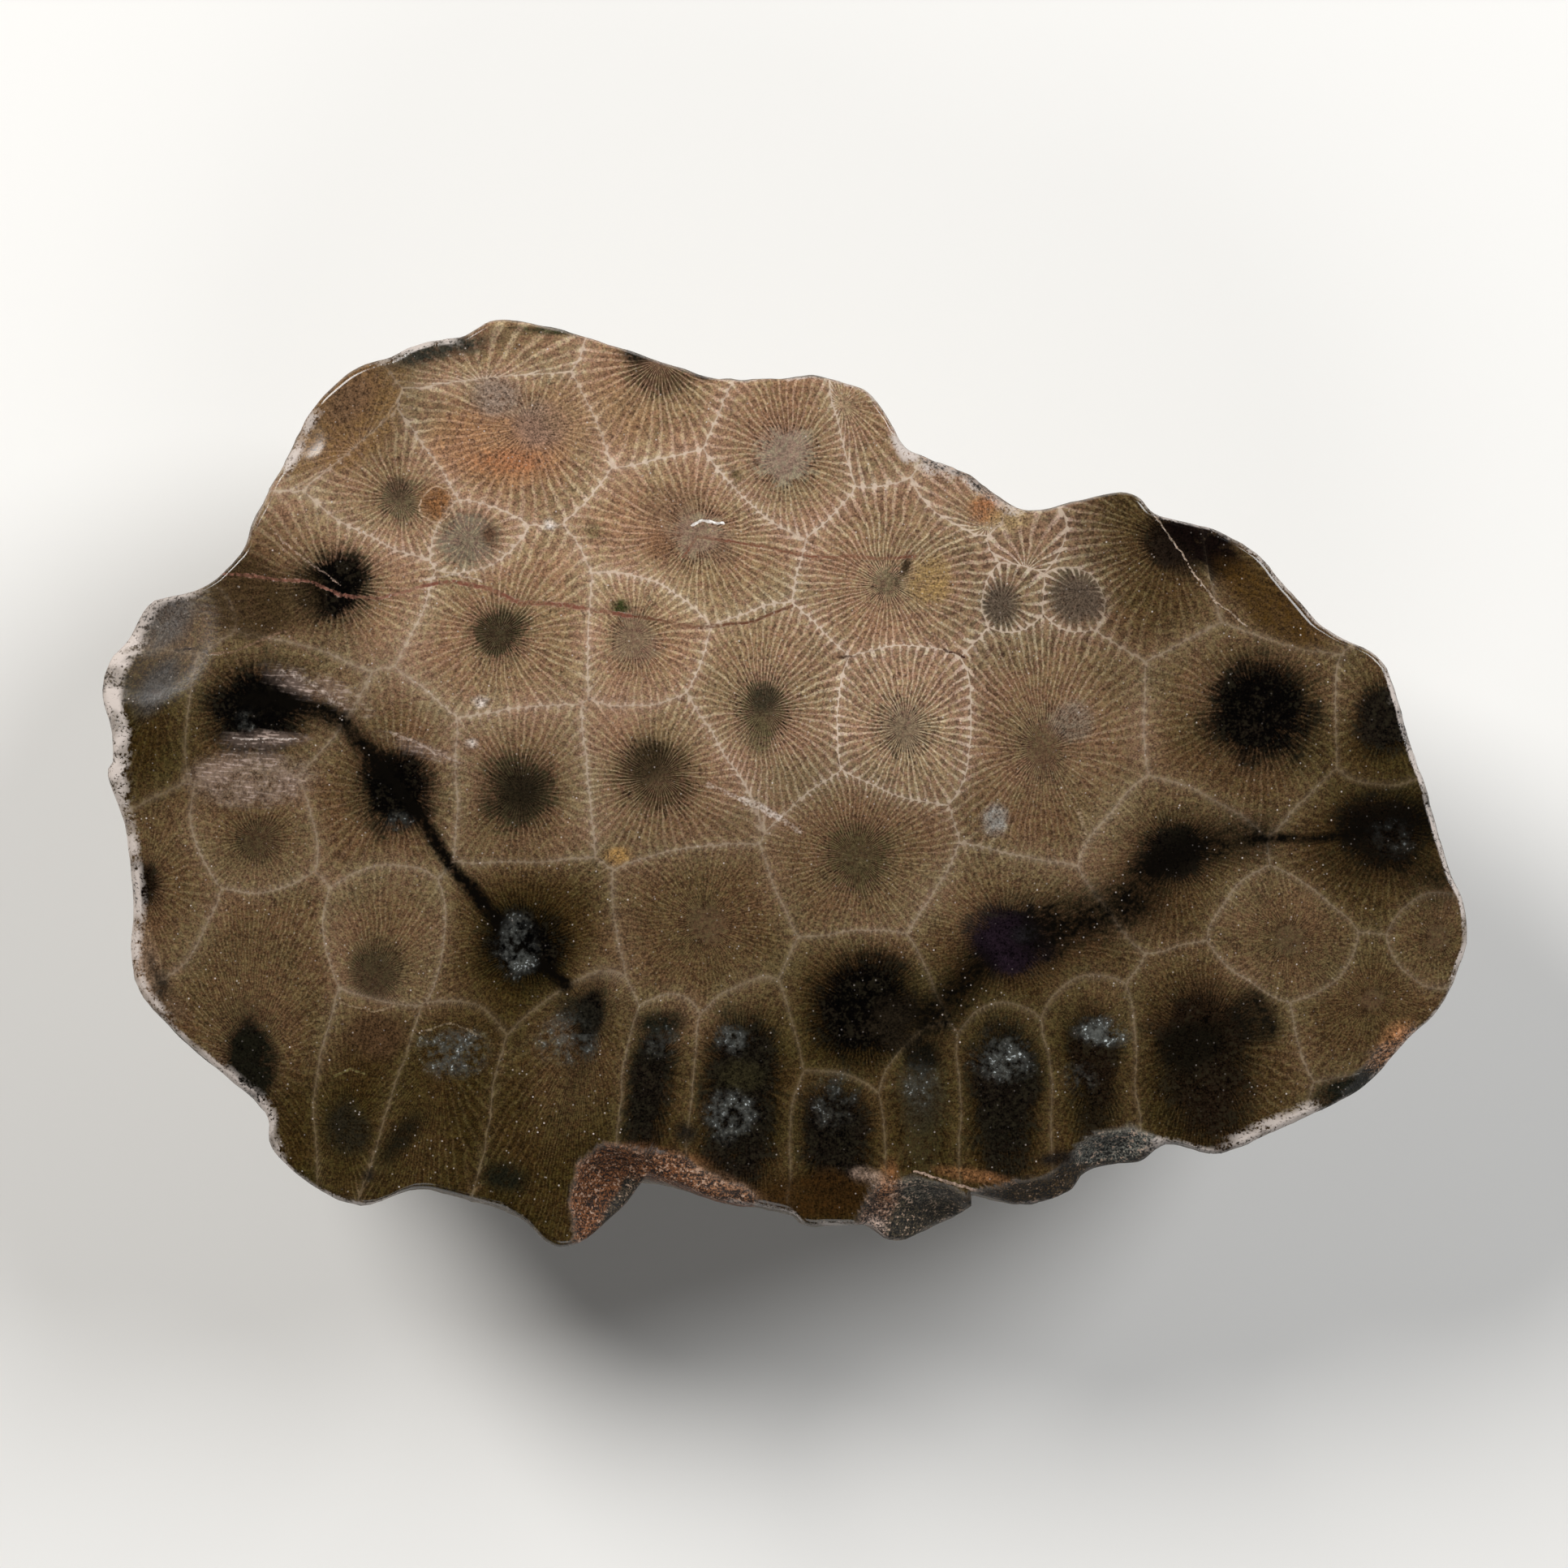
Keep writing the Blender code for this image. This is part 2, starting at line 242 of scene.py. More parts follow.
# How light the stone is: x, y, reach and tone, from 0 for the dark olive to 1 for the tan.
TONES_MM = {
    "tan middle": (-6, 17, 12, 1.0),
    "tan towards the step": (7, 15, 10, 0.87),
    "crisp column in the middle": (8.5, 4, 5, 1.25),
    "column left of it": (-2, 5, 5, 0.80),
    "second tan column": (0, 23, 8, 0.85),
    "top left": (-20, 26, 9, 0.90),
    "top left corner": (-30, 27, 6, 0.30),
    "upper left slope": (-30, 19, 7, 0.82),
    "left shoulder": (-38, 13, 6, 0.24),
    "middle left": (-20, 8, 8, 0.84),
    "left of the middle": (-9, 2, 7, 0.70),
    "large column right of the middle": (19, 5, 8, 0.57),
    "small columns on the right": (18, 13, 5, 0.75),
    "top right": (27, 13, 7, 0.12),
    "right slope": (37, 10, 6, 0.2),
    "right": (31, 0, 7, 0.18),
    "over the right eye": (29, 8.5, 4, 0.46),
    "right end": (43, -4, 8, 0.0),
    "right tip": (46, -10, 6, 0.2),
    "right of the crisp pair, below": (18, -5, 6, 0.33),
    "below the middle": (6, -4, 7, 0.42),
    "lower right": (42, -15, 9, 0.16),
    "leaning column on the right": (35, -10, 5, 0.27),
    "under the right vein": (26, -13, 7, 0.16),
    "bottom right": (24, -20, 8, 0.03),
    "bottom middle": (6, -20, 9, 0.02),
    "lower middle": (-6, -9, 8, 0.24),
    "bottom": (-6, -26, 7, 0.05),
    "right of the long wall": (-15.5, -21, 4, 0.2),
    "bottom left": (-20, -25, 9, 0.03),
    "by the left crystal": (-18, -10, 5, 0.0),
    "lower left": (-28, -9, 6, 0.36),
    "far left": (-38, -6, 7, 0.29),
    "left, below the slope": (-28, 1, 7, 0.24),
    "middle olive column": (-18, 0, 6, 0.34),
    "left end": (-44, 4, 6, 0.0),
    "left, under the shoulder": (-36, 6, 6, 0.30),
    "lower left end": (-38, -15, 7, 0.22),
    "lower left corner": (-31, -25, 6, 0.0),
}

# How crisply the walls and plates stand out: x, y, reach and crispness.
CRISPNESS_MM = {
    "round column in the middle": (8.5, 4, 7, 1.0),
    "column left of it": (-1.3, 5, 6, 0.85),
    "small columns on the right": (17, 13, 6, 0.95),
    "second tan column": (0, 23, 8, 0.6),
    "under the step": (8, 15, 7, 0.75),
    "tan middle": (-8, 14, 7, 0.55),
    "top left": (-20, 25, 9, 0.55),
    "upper left": (-27, 18, 7, 0.48),
    "middle left": (-18, 9, 7, 0.42),
    "large column right of the middle": (20, 3, 7, 0.3),
    "left of the middle": (-9, 1, 6, 0.4),
    "left": (-36, 0, 14, 0.18),
    "lower left": (-30, -12, 10, 0.25),
    "bottom": (0, -18, 14, 0.12),
    "ribs on the lower left": (-22, -27, 6, 0.4),
    "below the middle": (5, -5, 6, 0.45),
    "right": (35, 2, 12, 0.2),
    "lower right": (36, -15, 12, 0.22),
}

# Coloured patches: x, y, half width, half height, lean, colour and strength.
PATCHES_MM = {
    "rust in the top left column": (-20.2, 23.6, 5.0, 2.6, -8, (0.280, 0.132, 0.062), 0.5),
    "brighter rust in it": (-19.6, 22.6, 2.4, 0.9, 0, (0.30, 0.115, 0.050), 0.5),
    "mauve beside the rust": (-17.2, 25.2, 1.9, 1.6, 0, (0.215, 0.140, 0.105), 0.6),
    "grey disc above it": (-20.3, 27.3, 1.7, 1.45, 0, (0.205, 0.148, 0.112), 0.85),
    "small brown disc": (-24.5, 19.7, 1.2, 1.2, 0, (0.190, 0.088, 0.036), 1.0),
    "brown speck": (-20.7, 17.5, 0.5, 0.75, 0, (0.085, 0.047, 0.028), 1.0),
    "rust in the wide column": (-8.7, 16.7, 1.1, 1.2, 20, (0.15, 0.073, 0.037), 0.6),
    "brown above its eye": (-8.0, 19.7, 2.2, 1.3, 25, (0.150, 0.086, 0.050), 0.55),
    "brown beside its eye": (-4.2, 16.4, 0.8, 1.2, 0, (0.155, 0.095, 0.058), 0.5),
    "head of the upper left eye": (-27.3, 20.7, 0.9, 0.8, 0, (0.050, 0.030, 0.019), 0.7),
    "brown top left corner": (-31.0, 26.2, 5.5, 3.4, 45, (0.150, 0.078, 0.026), 0.6),
    "warm brown under the top edge": (-13.2, 26.2, 3.8, 2.6, 0, (0.250, 0.130, 0.066), 0.38),
    "olive spot in the wide column": (-13.4, 17.8, 0.5, 0.5, 0, (0.13, 0.10, 0.045), 0.8),
    "olive spot above it": (-3.3, 21.7, 0.4, 0.4, 0, (0.10, 0.07, 0.03), 0.8),
    "ochre beside the dark eye": (10.3, 14.3, 1.4, 1.5, 0, (0.26, 0.165, 0.065), 0.75),
    "dark notch in the step's column": (8.6, 15.3, 0.3, 0.9, -20, (0.035, 0.022, 0.012), 0.85),
    "darkest of the olive eye": (-18.5, -0.5, 1.5, 1.5, 0, (0.009, 0.0065, 0.0035), 0.75),
    "dark upper part of the eye beside it": (-9.5, 1.6, 1.5, 1.5, 30, (0.022, 0.0145, 0.007), 0.7),
    "dark flecks low in the arched column": (-28.6, -13.0, 1.7, 2.4, -10, (0.024, 0.018, 0.009), 0.42),
    "worn lower left edge": (-45.3, -12.6, 1.0, 2.7, 14, (0.24, 0.155, 0.10), 0.75),
    "pit in the lower left edge": (-44.7, -12.8, 0.4, 1.2, 14, (0.022, 0.014, 0.008), 0.85),
    "brown of the lower left edge": (-43.6, -15.4, 0.9, 1.8, 40, (0.085, 0.052, 0.030), 0.6),
    "dark head of the eye": (-1.4, 5.9, 1.0, 1.0, 20, (0.024, 0.020, 0.012), 0.75),
    "green foot of the eye": (-1.7, 3.3, 0.9, 1.4, 0, (0.075, 0.062, 0.028), 0.6),
    "rust on the step": (14.3, 19.2, 1.2, 0.9, 0, (0.27, 0.115, 0.05), 0.9),
    "ochre on the step": (15.9, 18.6, 1.3, 0.9, 0, (0.28, 0.19, 0.09), 0.7),
    "dark right of the crack": (29.6, 16.9, 3.6, 1.5, -34, (0.0035, 0.0016, 0.0012), 1.0),
    "dark left of the crack": (27.6, 15.9, 2.0, 1.0, -40, (0.010, 0.006, 0.004), 0.7),
    "brown along the right slope": (34.6, 12.4, 4.6, 1.6, -40, (0.052, 0.026, 0.006), 0.78),
    "purple in the lower right eye": (16.2, -11.4, 2.8, 2.0, 0, (0.0130, 0.0070, 0.0120), 0.75),
    "blue specks in it": (17.2, -10.6, 0.9, 0.5, 20, (0.034, 0.034, 0.036), 0.5),
    "ochre spot": (-11.7, -5.1, 0.9, 0.6, 0, (0.28, 0.16, 0.055), 0.85),
    "dirt on the top left edge": (-24.6, 30.6, 4.0, 0.9, 12, (0.028, 0.026, 0.019), 0.9),
    "grey upper left corner": (-44.8, 12.0, 3.2, 2.4, 20, (0.088, 0.076, 0.068), 0.85),
    "slate smudge on the left": (-44.3, 6.9, 0.9, 2.4, -32, (0.046, 0.040, 0.035), 0.85),
    "rust above the break": (-8.6, -26.2, 3.0, 0.5, -10, (0.13, 0.058, 0.026), 0.7),
    "red brown edge": (2.0, -29.2, 4.2, 1.8, 0, (0.028, 0.0125, 0.003), 0.8),
    "pale rust right of the break": (-4.5, -28.2, 2.8, 0.7, -20, (0.165, 0.090, 0.050), 0.5),
    "pale head of the middle lobe": (9.9, -28.9, 1.7, 0.8, -15, (0.098, 0.088, 0.068), 0.7),
    "orange corner": (7.3, -28.2, 0.6, 1.6, -8, (0.21, 0.090, 0.036), 0.65),
    "orange line": (13.3, -27.6, 2.4, 0.4, -8, (0.20, 0.092, 0.038), 0.7),
    "orange chip": (43.1, -18.6, 1.0, 1.9, -40, (0.27, 0.125, 0.055), 0.9),
    "dark chip": (39.7, -21.6, 2.6, 0.9, 24, (0.008, 0.008, 0.005), 0.95),
    "pink haze": (-37.6, 0.3, 4.0, 1.8, 0, (0.155, 0.108, 0.085), 0.45),
    "second dark lobe": (33.2, -16.6, 1.6, 2.1, 20, (0.0055, 0.0042, 0.0025), 0.85),
    "darkest of the first lobe": (28.8, -18.4, 2.4, 1.7, 30, (0.0045, 0.0034, 0.0018), 0.85),
    "dark below the glassy arch": (-14.2, -16.4, 1.7, 1.1, -20, (0.010, 0.009, 0.006), 0.8),
    "dark part of the left small column": (15.2, 12.5, 1.1, 1.6, 12, (0.080, 0.058, 0.041), 0.85),
    "dark part of the right small column": (20.7, 13.0, 2.0, 1.4, -8, (0.080, 0.057, 0.040), 0.85),
    "pale cloud below the large column": (14.95, -2.65, 0.8, 1.0, 0, (0.27, 0.24, 0.21), 0.8),
    "dark left shoulder": (-37.8, 12.8, 3.0, 2.6, -25, (0.034, 0.020, 0.008), 0.8),
    "brown left of the black column": (-34.8, 13.2, 2.0, 2.4, 0, (0.045, 0.028, 0.012), 0.45),
    "glassy brown between dark spots": (-2.9, -20.6, 1.6, 1.0, 0, (0.023, 0.019, 0.008), 0.7),
    "green heart": (-11.5, 12.4, 0.6, 0.55, 0, (0.034, 0.036, 0.012), 0.95),
    "grey haze right of the middle": (20.3, 4.2, 1.5, 1.4, 0, (0.150, 0.118, 0.092), 0.6),
    "dark streak on the lower left": (-27.0, -25.0, 2.3, 0.9, 48, (0.009, 0.007, 0.0035), 0.85),
    "round dark spot on the left": (-37.6, -19.6, 1.9, 2.3, 0, (0.0062, 0.0056, 0.003), 0.9),
    "dark oval between the walls": (-30.9, -24.3, 1.6, 2.1, 0, (0.014, 0.011, 0.006), 0.9),
    "little spot below it": (-29.3, -27.7, 0.5, 0.45, 0, (0.012, 0.009, 0.006), 0.9),
    "dark spot above the left lobe": (-19.7, -27.8, 1.7, 1.0, -15, (0.008, 0.0075, 0.004), 0.9),
    "dark spot beside the rust": (-6.9, -24.7, 0.8, 0.8, 0, (0.012, 0.009, 0.006), 0.9),
    "upper dark of the first arch": (-8.6, -16.8, 1.7, 0.9, 0, (0.007, 0.007, 0.004), 0.9),
    "dark under the right arches": (9.8, -19.2, 1.3, 1.4, 0, (0.006, 0.005, 0.003), 0.95),
    "grey olive in that arch": (9.8, -22.4, 1.5, 2.2, 0, (0.019, 0.016, 0.010), 0.6),
    "dark beside the black column": (8.3, -16.8, 2.0, 2.2, 0, (0.013, 0.009, 0.005), 0.7),
    "dark by the low spot": (19.4, -26.4, 1.3, 0.6, 10, (0.011, 0.008, 0.006), 0.9),
    "pits on the lower left side": (-44.0, -14.2, 0.6, 1.0, 0, (0.020, 0.015, 0.010), 0.9),
    "red brown under the smile": (-28.7, -17.8, 2.1, 1.5, 0, (0.060, 0.031, 0.015), 0.7),
    "purple grey on the top left slope": (-30.6, 27.0, 2.4, 1.4, 45, (0.115, 0.066, 0.040), 0.6),
    "dark at the top edge": (-10.5, 30.2, 1.0, 0.5, -10, (0.010, 0.008, 0.005), 0.9),
    "dark at the top edge, right": (-5.6, 28.8, 0.9, 0.4, -10, (0.012, 0.009, 0.006), 0.9),
    "white chip in the top left": (-16.5, 18.2, 0.4, 0.35, 0, (0.55, 0.48, 0.43), 0.9),
    "white chip above the left vein": (-21.3, 5.7, 0.45, 0.4, 30, (0.50, 0.43, 0.38), 0.9),
    "white chip below it": (-22.0, 2.8, 0.4, 0.3, 0, (0.50, 0.43, 0.38), 0.8),
    "white chips by the orange corner": (6.0, -27.7, 1.2, 0.5, -12, (0.36, 0.25, 0.19), 0.42),
    "pale foot of the lobe": (6.4, -31.4, 0.8, 0.6, 0, (0.40, 0.31, 0.26), 0.7),
    "green on the top edge": (-16.0, 31.9, 3.4, 0.3, -3, (0.020, 0.024, 0.010), 0.8),
}

# Broken, unpolished places: their outline, which may pass beyond the stone's edge, and their colour.
FRACTURES_MM = {
    "rust of the break": (
        [
            (-14.5, -27.0), (-13.2, -25.7), (-11.3, -25.5), (-9.8, -26.0), (-6.6, -26.5), (-4.4, -27.9),
            (-2.0, -29.2), (-2.0, -33.0), (-9.0, -33.0), (-15.0, -35.0), (-14.7, -32.0), (-14.9, -29.6),
        ],
        (0.112, 0.040, 0.012),
    ),
    "grey foot of the break": (
        [(-11.2, -28.0), (-8.6, -28.2), (-11.0, -34.0), (-13.4, -31.8)],
        (0.042, 0.030, 0.018),
    ),
    "side of the middle lobe": (
        [
            (5.4, -30.3), (6.3, -28.6), (9.4, -27.7), (10.8, -28.1), (13.3, -29.4), (16.0, -31.5),
            (12.0, -35.0), (4.6, -35.0),
        ],
        (0.038, 0.029, 0.016),
    ),
    "chipped end of the middle lobe": (
        [(8.5, -28.3), (7.9, -30.1), (7.2, -32.0), (7.0, -35.0), (4.6, -35.0), (5.4, -30.3), (6.3, -28.6)],
        (0.085, 0.046, 0.028),
    ),
    "ledge on the lower right": (
        [
            (12.8, -29.2), (16.0, -28.3), (18.1, -27.8), (20.3, -26.6), (20.9, -25.6), (22.1, -24.6),
            (24.5, -24.2), (26.4, -25.2), (27.5, -28.0), (24.0, -31.0), (19.0, -33.0), (14.0, -33.0),
        ],
        (0.0245, 0.0140, 0.004),
    ),
    "blue grey low spot": (
        [
            (24.5, -24.2), (26.4, -25.2), (24.6, -26.7), (22.2, -27.2), (20.6, -26.9), (20.9, -25.6),
            (22.1, -24.6),
        ],
        (0.084, 0.083, 0.070),
    ),
    "chalky break of the step": (
        [(9.0, 23.4), (9.8, 22.6), (12.6, 21.6), (14.6, 20.1), (16.4, 19.5), (17.0, 22.0), (10.0, 26.0)],
        (0.125, 0.080, 0.052),
    ),
    "corner of the right end": (
        [(42.0, -18.6), (44.4, -17.2), (46.0, -19.0), (41.0, -24.5), (37.8, -23.5), (40.2, -21.4)],
        (0.030, 0.020, 0.009),
    ),
}

# Places dulled by fine scratches side by side: x, y, half width, half height, lean and strength.
SCRATCHED_MM = [
    (-37.6, 0.3, 4.2, 1.9, 0, 0.75), (-36.6, 3.1, 2.6, 0.45, 0, 1.0), (-33.4, 7.0, 2.9, 0.8, -18, 1.0),
    (-25.4, 2.4, 3.0, 0.45, -20, 0.7), (-30.4, 5.6, 1.4, 0.7, -30, 0.6),
]

# Clear crystal that glints in the dark: x, y, half width, half height and strength.
CRYSTALS_MM = [
    (-18.7, -11.5, 1.2, 1.8, 1.0), (14.9, -2.7, 0.8, 1.0, 0.6), (-3.6, -18.0, 1.1, 0.8, 1.2),
    (-3.7, -23.3, 1.7, 1.6, 0.9), (15.4, -19.6, 2.0, 1.7, 0.9), (22.6, -17.5, 1.5, 0.9, 1.5),
    (-23.3, -18.8, 2.3, 1.8, 0.9), (-15.2, -18.2, 1.9, 1.6, 0.6), (3.6, -22.3, 1.5, 2.0, 0.3),
    (-38.0, 4.3, 0.5, 0.7, 0.5), (-27.2, -2.6, 0.8, 0.5, 0.5), (9.6, -21.4, 1.3, 1.6, 0.35),
    (43.0, -4.0, 1.4, 1.0, 0.22), (-8.6, -18.2, 1.2, 1.2, 0.35), (20.9, -20.8, 1.0, 0.9, 0.5),
]

# Chalky wear along the edge, and painted highlight where the rounded edge catches the light: its course,
# how far it reaches in from the edge (from, to) and strength.
EDGE_CHALK_AND_HIGHLIGHT_MM = [
    # Mostly painted highlight, with some white pitting: the gloss band along the left end.
    ([(-47.6, 9.4), (-48.0, 6.7), (-47.8, 3.4), (-47.8, 0.8)], (0.05, 1.35), 1.2),
    ([(-46.9, 10.0), (-45.2, 12.7), (-43.5, 13.3)], (0.0, 0.9), 0.7),
    ([(-46.4, -3.0), (-46.2, -9.6), (-46.2, -12.6), (-45.0, -15.6)], (-0.1, 0.8), 0.9),
    ([(-45.0, -15.6), (-41.6, -18.8), (-38.0, -21.8), (-36.6, -24.6)], (-0.3, 0.5), 0.85),
    ([(-36.6, -24.6), (-33.4, -28.0), (-29.0, -29.8)], (-0.3, 0.3), 0.8),
    # Mostly painted highlight: the thin bright line along the right end's edge.
    ([(43.4, 6.0), (44.9, 0.8), (46.4, -4.4), (47.9, -8.8), (48.2, -12.2)], (0.05, 0.45), 1.0),
    ([(48.2, -12.2), (46.4, -15.6), (43.2, -19.6)], (-0.2, 0.25), 0.6),
    ([(-34.4, 25.0), (-33.9, 23.6)], (0.0, 0.8), 0.9),
    ([(-26.6, 30.8), (-25.2, 31.0)], (0.0, 0.5), 0.9),
    ([(9.2, 23.2), (10.3, 22.4)], (-0.2, 0.9), 0.95),
    ([(10.4, 22.5), (13.0, 21.8), (15.2, 20.2)], (-0.2, 0.7), 0.55),
    ([(33.6, -24.9), (36.0, -24.0)], (-0.1, 1.0), 0.9),
    ([(27.4, -25.6), (31.2, -26.0)], (-0.2, 0.7), 0.7),
    ([(2.0, 28.6), (6.2, 27.4), (8.8, 23.4)], (-0.2, 0.2), 0.6),
    ([(26.5, 18.7), (30.0, 17.9), (33.4, 16.0), (36.0, 13.2), (42.0, 8.9)], (-0.2, 0.25), 0.6),
    ([(-2.0, -29.9), (5.8, -31.4)], (-0.2, 0.3), 0.6),
]

# Dark veins: course, half width and darkness.
VEINS_MM = [
    ([(-37.4, 6.0), (-34.2, 5.6), (-31.4, 4.6), (-29.8, 2.8), (-28.2, 0.8)], 0.72, 0.85),
    ([(-28.2, 0.8), (-25.6, -2.5)], 0.42, 0.95),
    ([(-25.6, -2.5), (-23.3, -5.9), (-20.4, -9.4)], 0.40, 1.0),
    ([(-20.4, -9.4), (-18.7, -11.7), (-15.3, -14.2)], 0.42, 1.0),
    ([(10.4, -16.6), (12.0, -14.6), (13.6, -13.2)], 1.3, 0.80),
    ([(18.4, -10.6), (21.5, -9.6), (24.9, -8.0)], 1.9, 0.79),
    ([(24.4, -8.0), (26.6, -5.6), (29.5, -4.3), (33.4, -3.9)], 1.3, 0.76),
    ([(33.0, -3.9), (37.6, -3.9), (42.2, -3.3)], 0.34, 0.85),
    ([(40.5, -3.3), (46.8, -2.0)], 1.5, 0.75),
    ([(41.0, -4.6), (46.6, -7.0)], 1.4, 0.62),
    ([(38.0, -5.2), (41.0, -6.6)], 1.0, 0.5),
]


def ring_course(x, y, radius, points=18):
    """A course round a disc."""
    turns = [2 * np.pi * share / points for share in range(points + 1)]
    return [(x + radius * np.cos(turn), y + radius * np.sin(turn)) for turn in turns]


# Fine cracks and scratches: course, half width, colour and strength.
CRACKS_MM = [
    (
        [(-39.9, 14.9), (-36.5, 14.5), (-33.6, 14.2), (-31.3, 13.1), (-28.4, 13.0), (-25.6, 13.9)],
        0.15, (0.20, 0.085, 0.060), 0.85,
    ),
    (
        [
            (-25.6, 13.9), (-23.3, 14.3), (-21.0, 13.9), (-18.7, 12.7), (-15.8, 12.5), (-13.5, 12.2),
            (-10.6, 11.6),
        ],
        0.18, (0.155, 0.055, 0.036), 0.95,
    ),
    ([(-10.6, 11.6), (-6.1, 11.0), (-2.0, 11.3), (0.5, 12.5)], 0.14, (0.10, 0.038, 0.020), 0.95),
    (
        [(-7.2, 15.8), (-6.1, 17.2), (-3.8, 16.9), (1.4, 16.2), (7.7, 15.9), (9.4, 16.0)],
        0.13, (0.145, 0.052, 0.030), 0.9,
    ),
    ([(3.7, 8.7), (4.9, 8.8)], 0.11, (0.035, 0.014, 0.008), 1.0),
    ([(11.3, 9.4), (12.7, 8.9)], 0.12, (0.035, 0.014, 0.008), 1.0),
    ([(26.2, 18.8), (28.6, 15.6), (30.6, 12.9), (32.7, 11.2)], 0.065, (0.36, 0.275, 0.205), 0.95),
    ([(-6.5, 18.0), (-5.8, 18.4), (-4.2, 18.2)], 0.1, (0.95, 0.92, 0.88), 1.5),
    ([(-36.0, 17.6), (-33.9, 15.9), (-31.3, 13.9)], 0.08, (0.38, 0.27, 0.21), 0.7),
    ([(-27.9, 3.6), (-24.8, 2.0), (-22.7, 1.3)], 0.12, (0.36, 0.28, 0.23), 0.75),
    ([(-5.5, 0.1), (-3.2, -1.0)], 0.20, (0.42, 0.34, 0.29), 0.6),
    ([(-3.2, -1.0), (-0.3, -2.5)], 0.32, (0.52, 0.45, 0.40), 0.72),
    ([(-0.3, -2.5), (1.1, -3.4)], 0.18, (0.42, 0.34, 0.29), 0.6),
    ([(-38.8, 3.2), (-34.4, 3.1)], 0.07, (0.46, 0.40, 0.36), 0.8),
    ([(-43.5, 9.5), (-41.3, 9.5), (-40.6, 9.1)], 0.13, (0.010, 0.006, 0.004), 1.0),
    ([(-40.6, 9.1), (-38.9, 9.3), (-35.5, 10.7), (-33.0, 8.6)], 0.09, (0.18, 0.105, 0.068), 0.75),
    ([(-25.6, 14.3), (-23.3, 14.8), (-21.2, 14.3)], 0.09, (0.46, 0.37, 0.30), 0.75),
    ([(-35.4, 7.7), (-33.2, 7.0), (-31.2, 5.5)], 0.28, (0.50, 0.41, 0.36), 0.5),
    ([(-31.3, -15.6), (-28.9, -16.2), (-26.7, -15.6)], 0.08, (0.20, 0.145, 0.085), 0.8),
    ([(-31.9, -20.7), (-30.7, -20.2), (-29.6, -20.5)], 0.10, (0.17, 0.150, 0.055), 0.7),
    ([(-25.2, -17.5), (-23.3, -17.0), (-21.4, -17.8)], 0.08, (0.20, 0.155, 0.100), 0.7),
    ([(9.2, -27.3), (12.6, -28.4), (16.4, -29.4)], 0.11, (0.42, 0.30, 0.235), 0.9),
    (ring_course(-24.5, 19.7, 1.25), 0.07, (0.44, 0.31, 0.215), 0.8),
    (ring_course(-20.6, 27.1, 1.9)[:13], 0.06, (0.36, 0.25, 0.175), 0.6),
    ([(20.9, -2.0), (21.5, -4.0), (20.9, -6.0)], 0.2, (0.36, 0.27, 0.19), 0.5),
]

# Stone colours between the radial plates, of the plates themselves and of the walls: for the dark
# olive stone, for the tan and for the unpolished sides.
DARK_STONE = [(0.026, 0.0165, 0.0045), (0.050, 0.036, 0.0145), (0.145, 0.104, 0.060)]
TAN_STONE = [(0.232, 0.140, 0.079), (0.385, 0.270, 0.180), (0.56, 0.445, 0.35)]
SIDE_STONE = [(0.13, 0.110, 0.086), (0.20, 0.172, 0.140), (0.30, 0.265, 0.225)]
# The next colour is chalky wear, and also the painted highlight on the edge and the painted glints of the
# white specks.
CHALK_AND_HIGHLIGHT_COLOUR = (0.50, 0.435, 0.395)
CHIP_COLOUR = (0.40, 0.275, 0.20)
FROST_COLOUR = (0.069, 0.071, 0.065)
GLINT_COLOUR = (0.46, 0.50, 0.50)
VEIN_COLOUR = (0.0020, 0.0014, 0.0008)
NO_CAST = (1.0, 1.0, 1.0)  # this and the next four: what a part of the stone is multiplied by
PINK_CAST = (1.085, 0.96, 0.98)
OLIVE_CAST = (0.945, 1.03, 0.94)
COOL_CAST = (0.985, 1.03, 1.10)  # of the crisper stone
DARK_CAST = (0.98, 0.93, 0.82)  # of the darker stone
SCRATCH_COLOUR = (0.46, 0.35, 0.30)
SCRATCH_HAZE = (0.26, 0.185, 0.150)
CRACK_EDGE_COLOUR = (0.36, 0.235, 0.18)
EYE_FLECK_COLOUR = (0.020, 0.015, 0.009)
TABLE_COLOUR = (0.76, 0.75, 0.73)

# Random textures of the material: lumps to a millimetre, finer layers and how strong those are.
TEXTURES = {
    "broad": (0.28, 2.0, 0.5),
    "lumps": (0.6, 2.0, 0.5),
    "grain": (1.9, 3.0, 0.65),
    "speckle": (3.3, 1.0, 0.5),
    "fleck": (5.5, 1.0, 0.5),
    "fine": (9.0, 0.0, 0.5),
}

# Lamps, which point at the middle of the face: place, width, power and colour.
LAMPS = {
    "key": ((-0.45, 0.42, 0.55), 0.34, 6.6, (1.0, 0.985, 0.96)),
    "second": ((0.50, 0.30, 0.50), 0.34, 4.4, (0.97, 0.985, 1.0)),
    "low_fill": ((0.0, -0.65, 0.45), 0.45, 1.3, (1.0, 1.0, 1.0)),
}
ROOM_LIGHT = 0.02
PICTURE_PIXELS = 1932  # the photograph's width
PIXEL_MM = 0.0574  # what one of its pixels shows at the face
LENS, SENSOR = 100.0, 36.0


def smoothstep(x, low, high):
    """0 where x is below low, 1 where it is above high, with a smooth step between."""
    t = np.clip((x - low) / (high - low), 0, 1)
    return t * t * (3 - 2 * t)


def hashed(cells, seed):
    """A repeatable number from 0 to 1 for each whole-numbered cell."""
    mixed = np.sin(cells @ np.array([127.1, 311.7, 74.7]) + 53.3 * seed) * 43758.5453
    return mixed - np.floor(mixed)


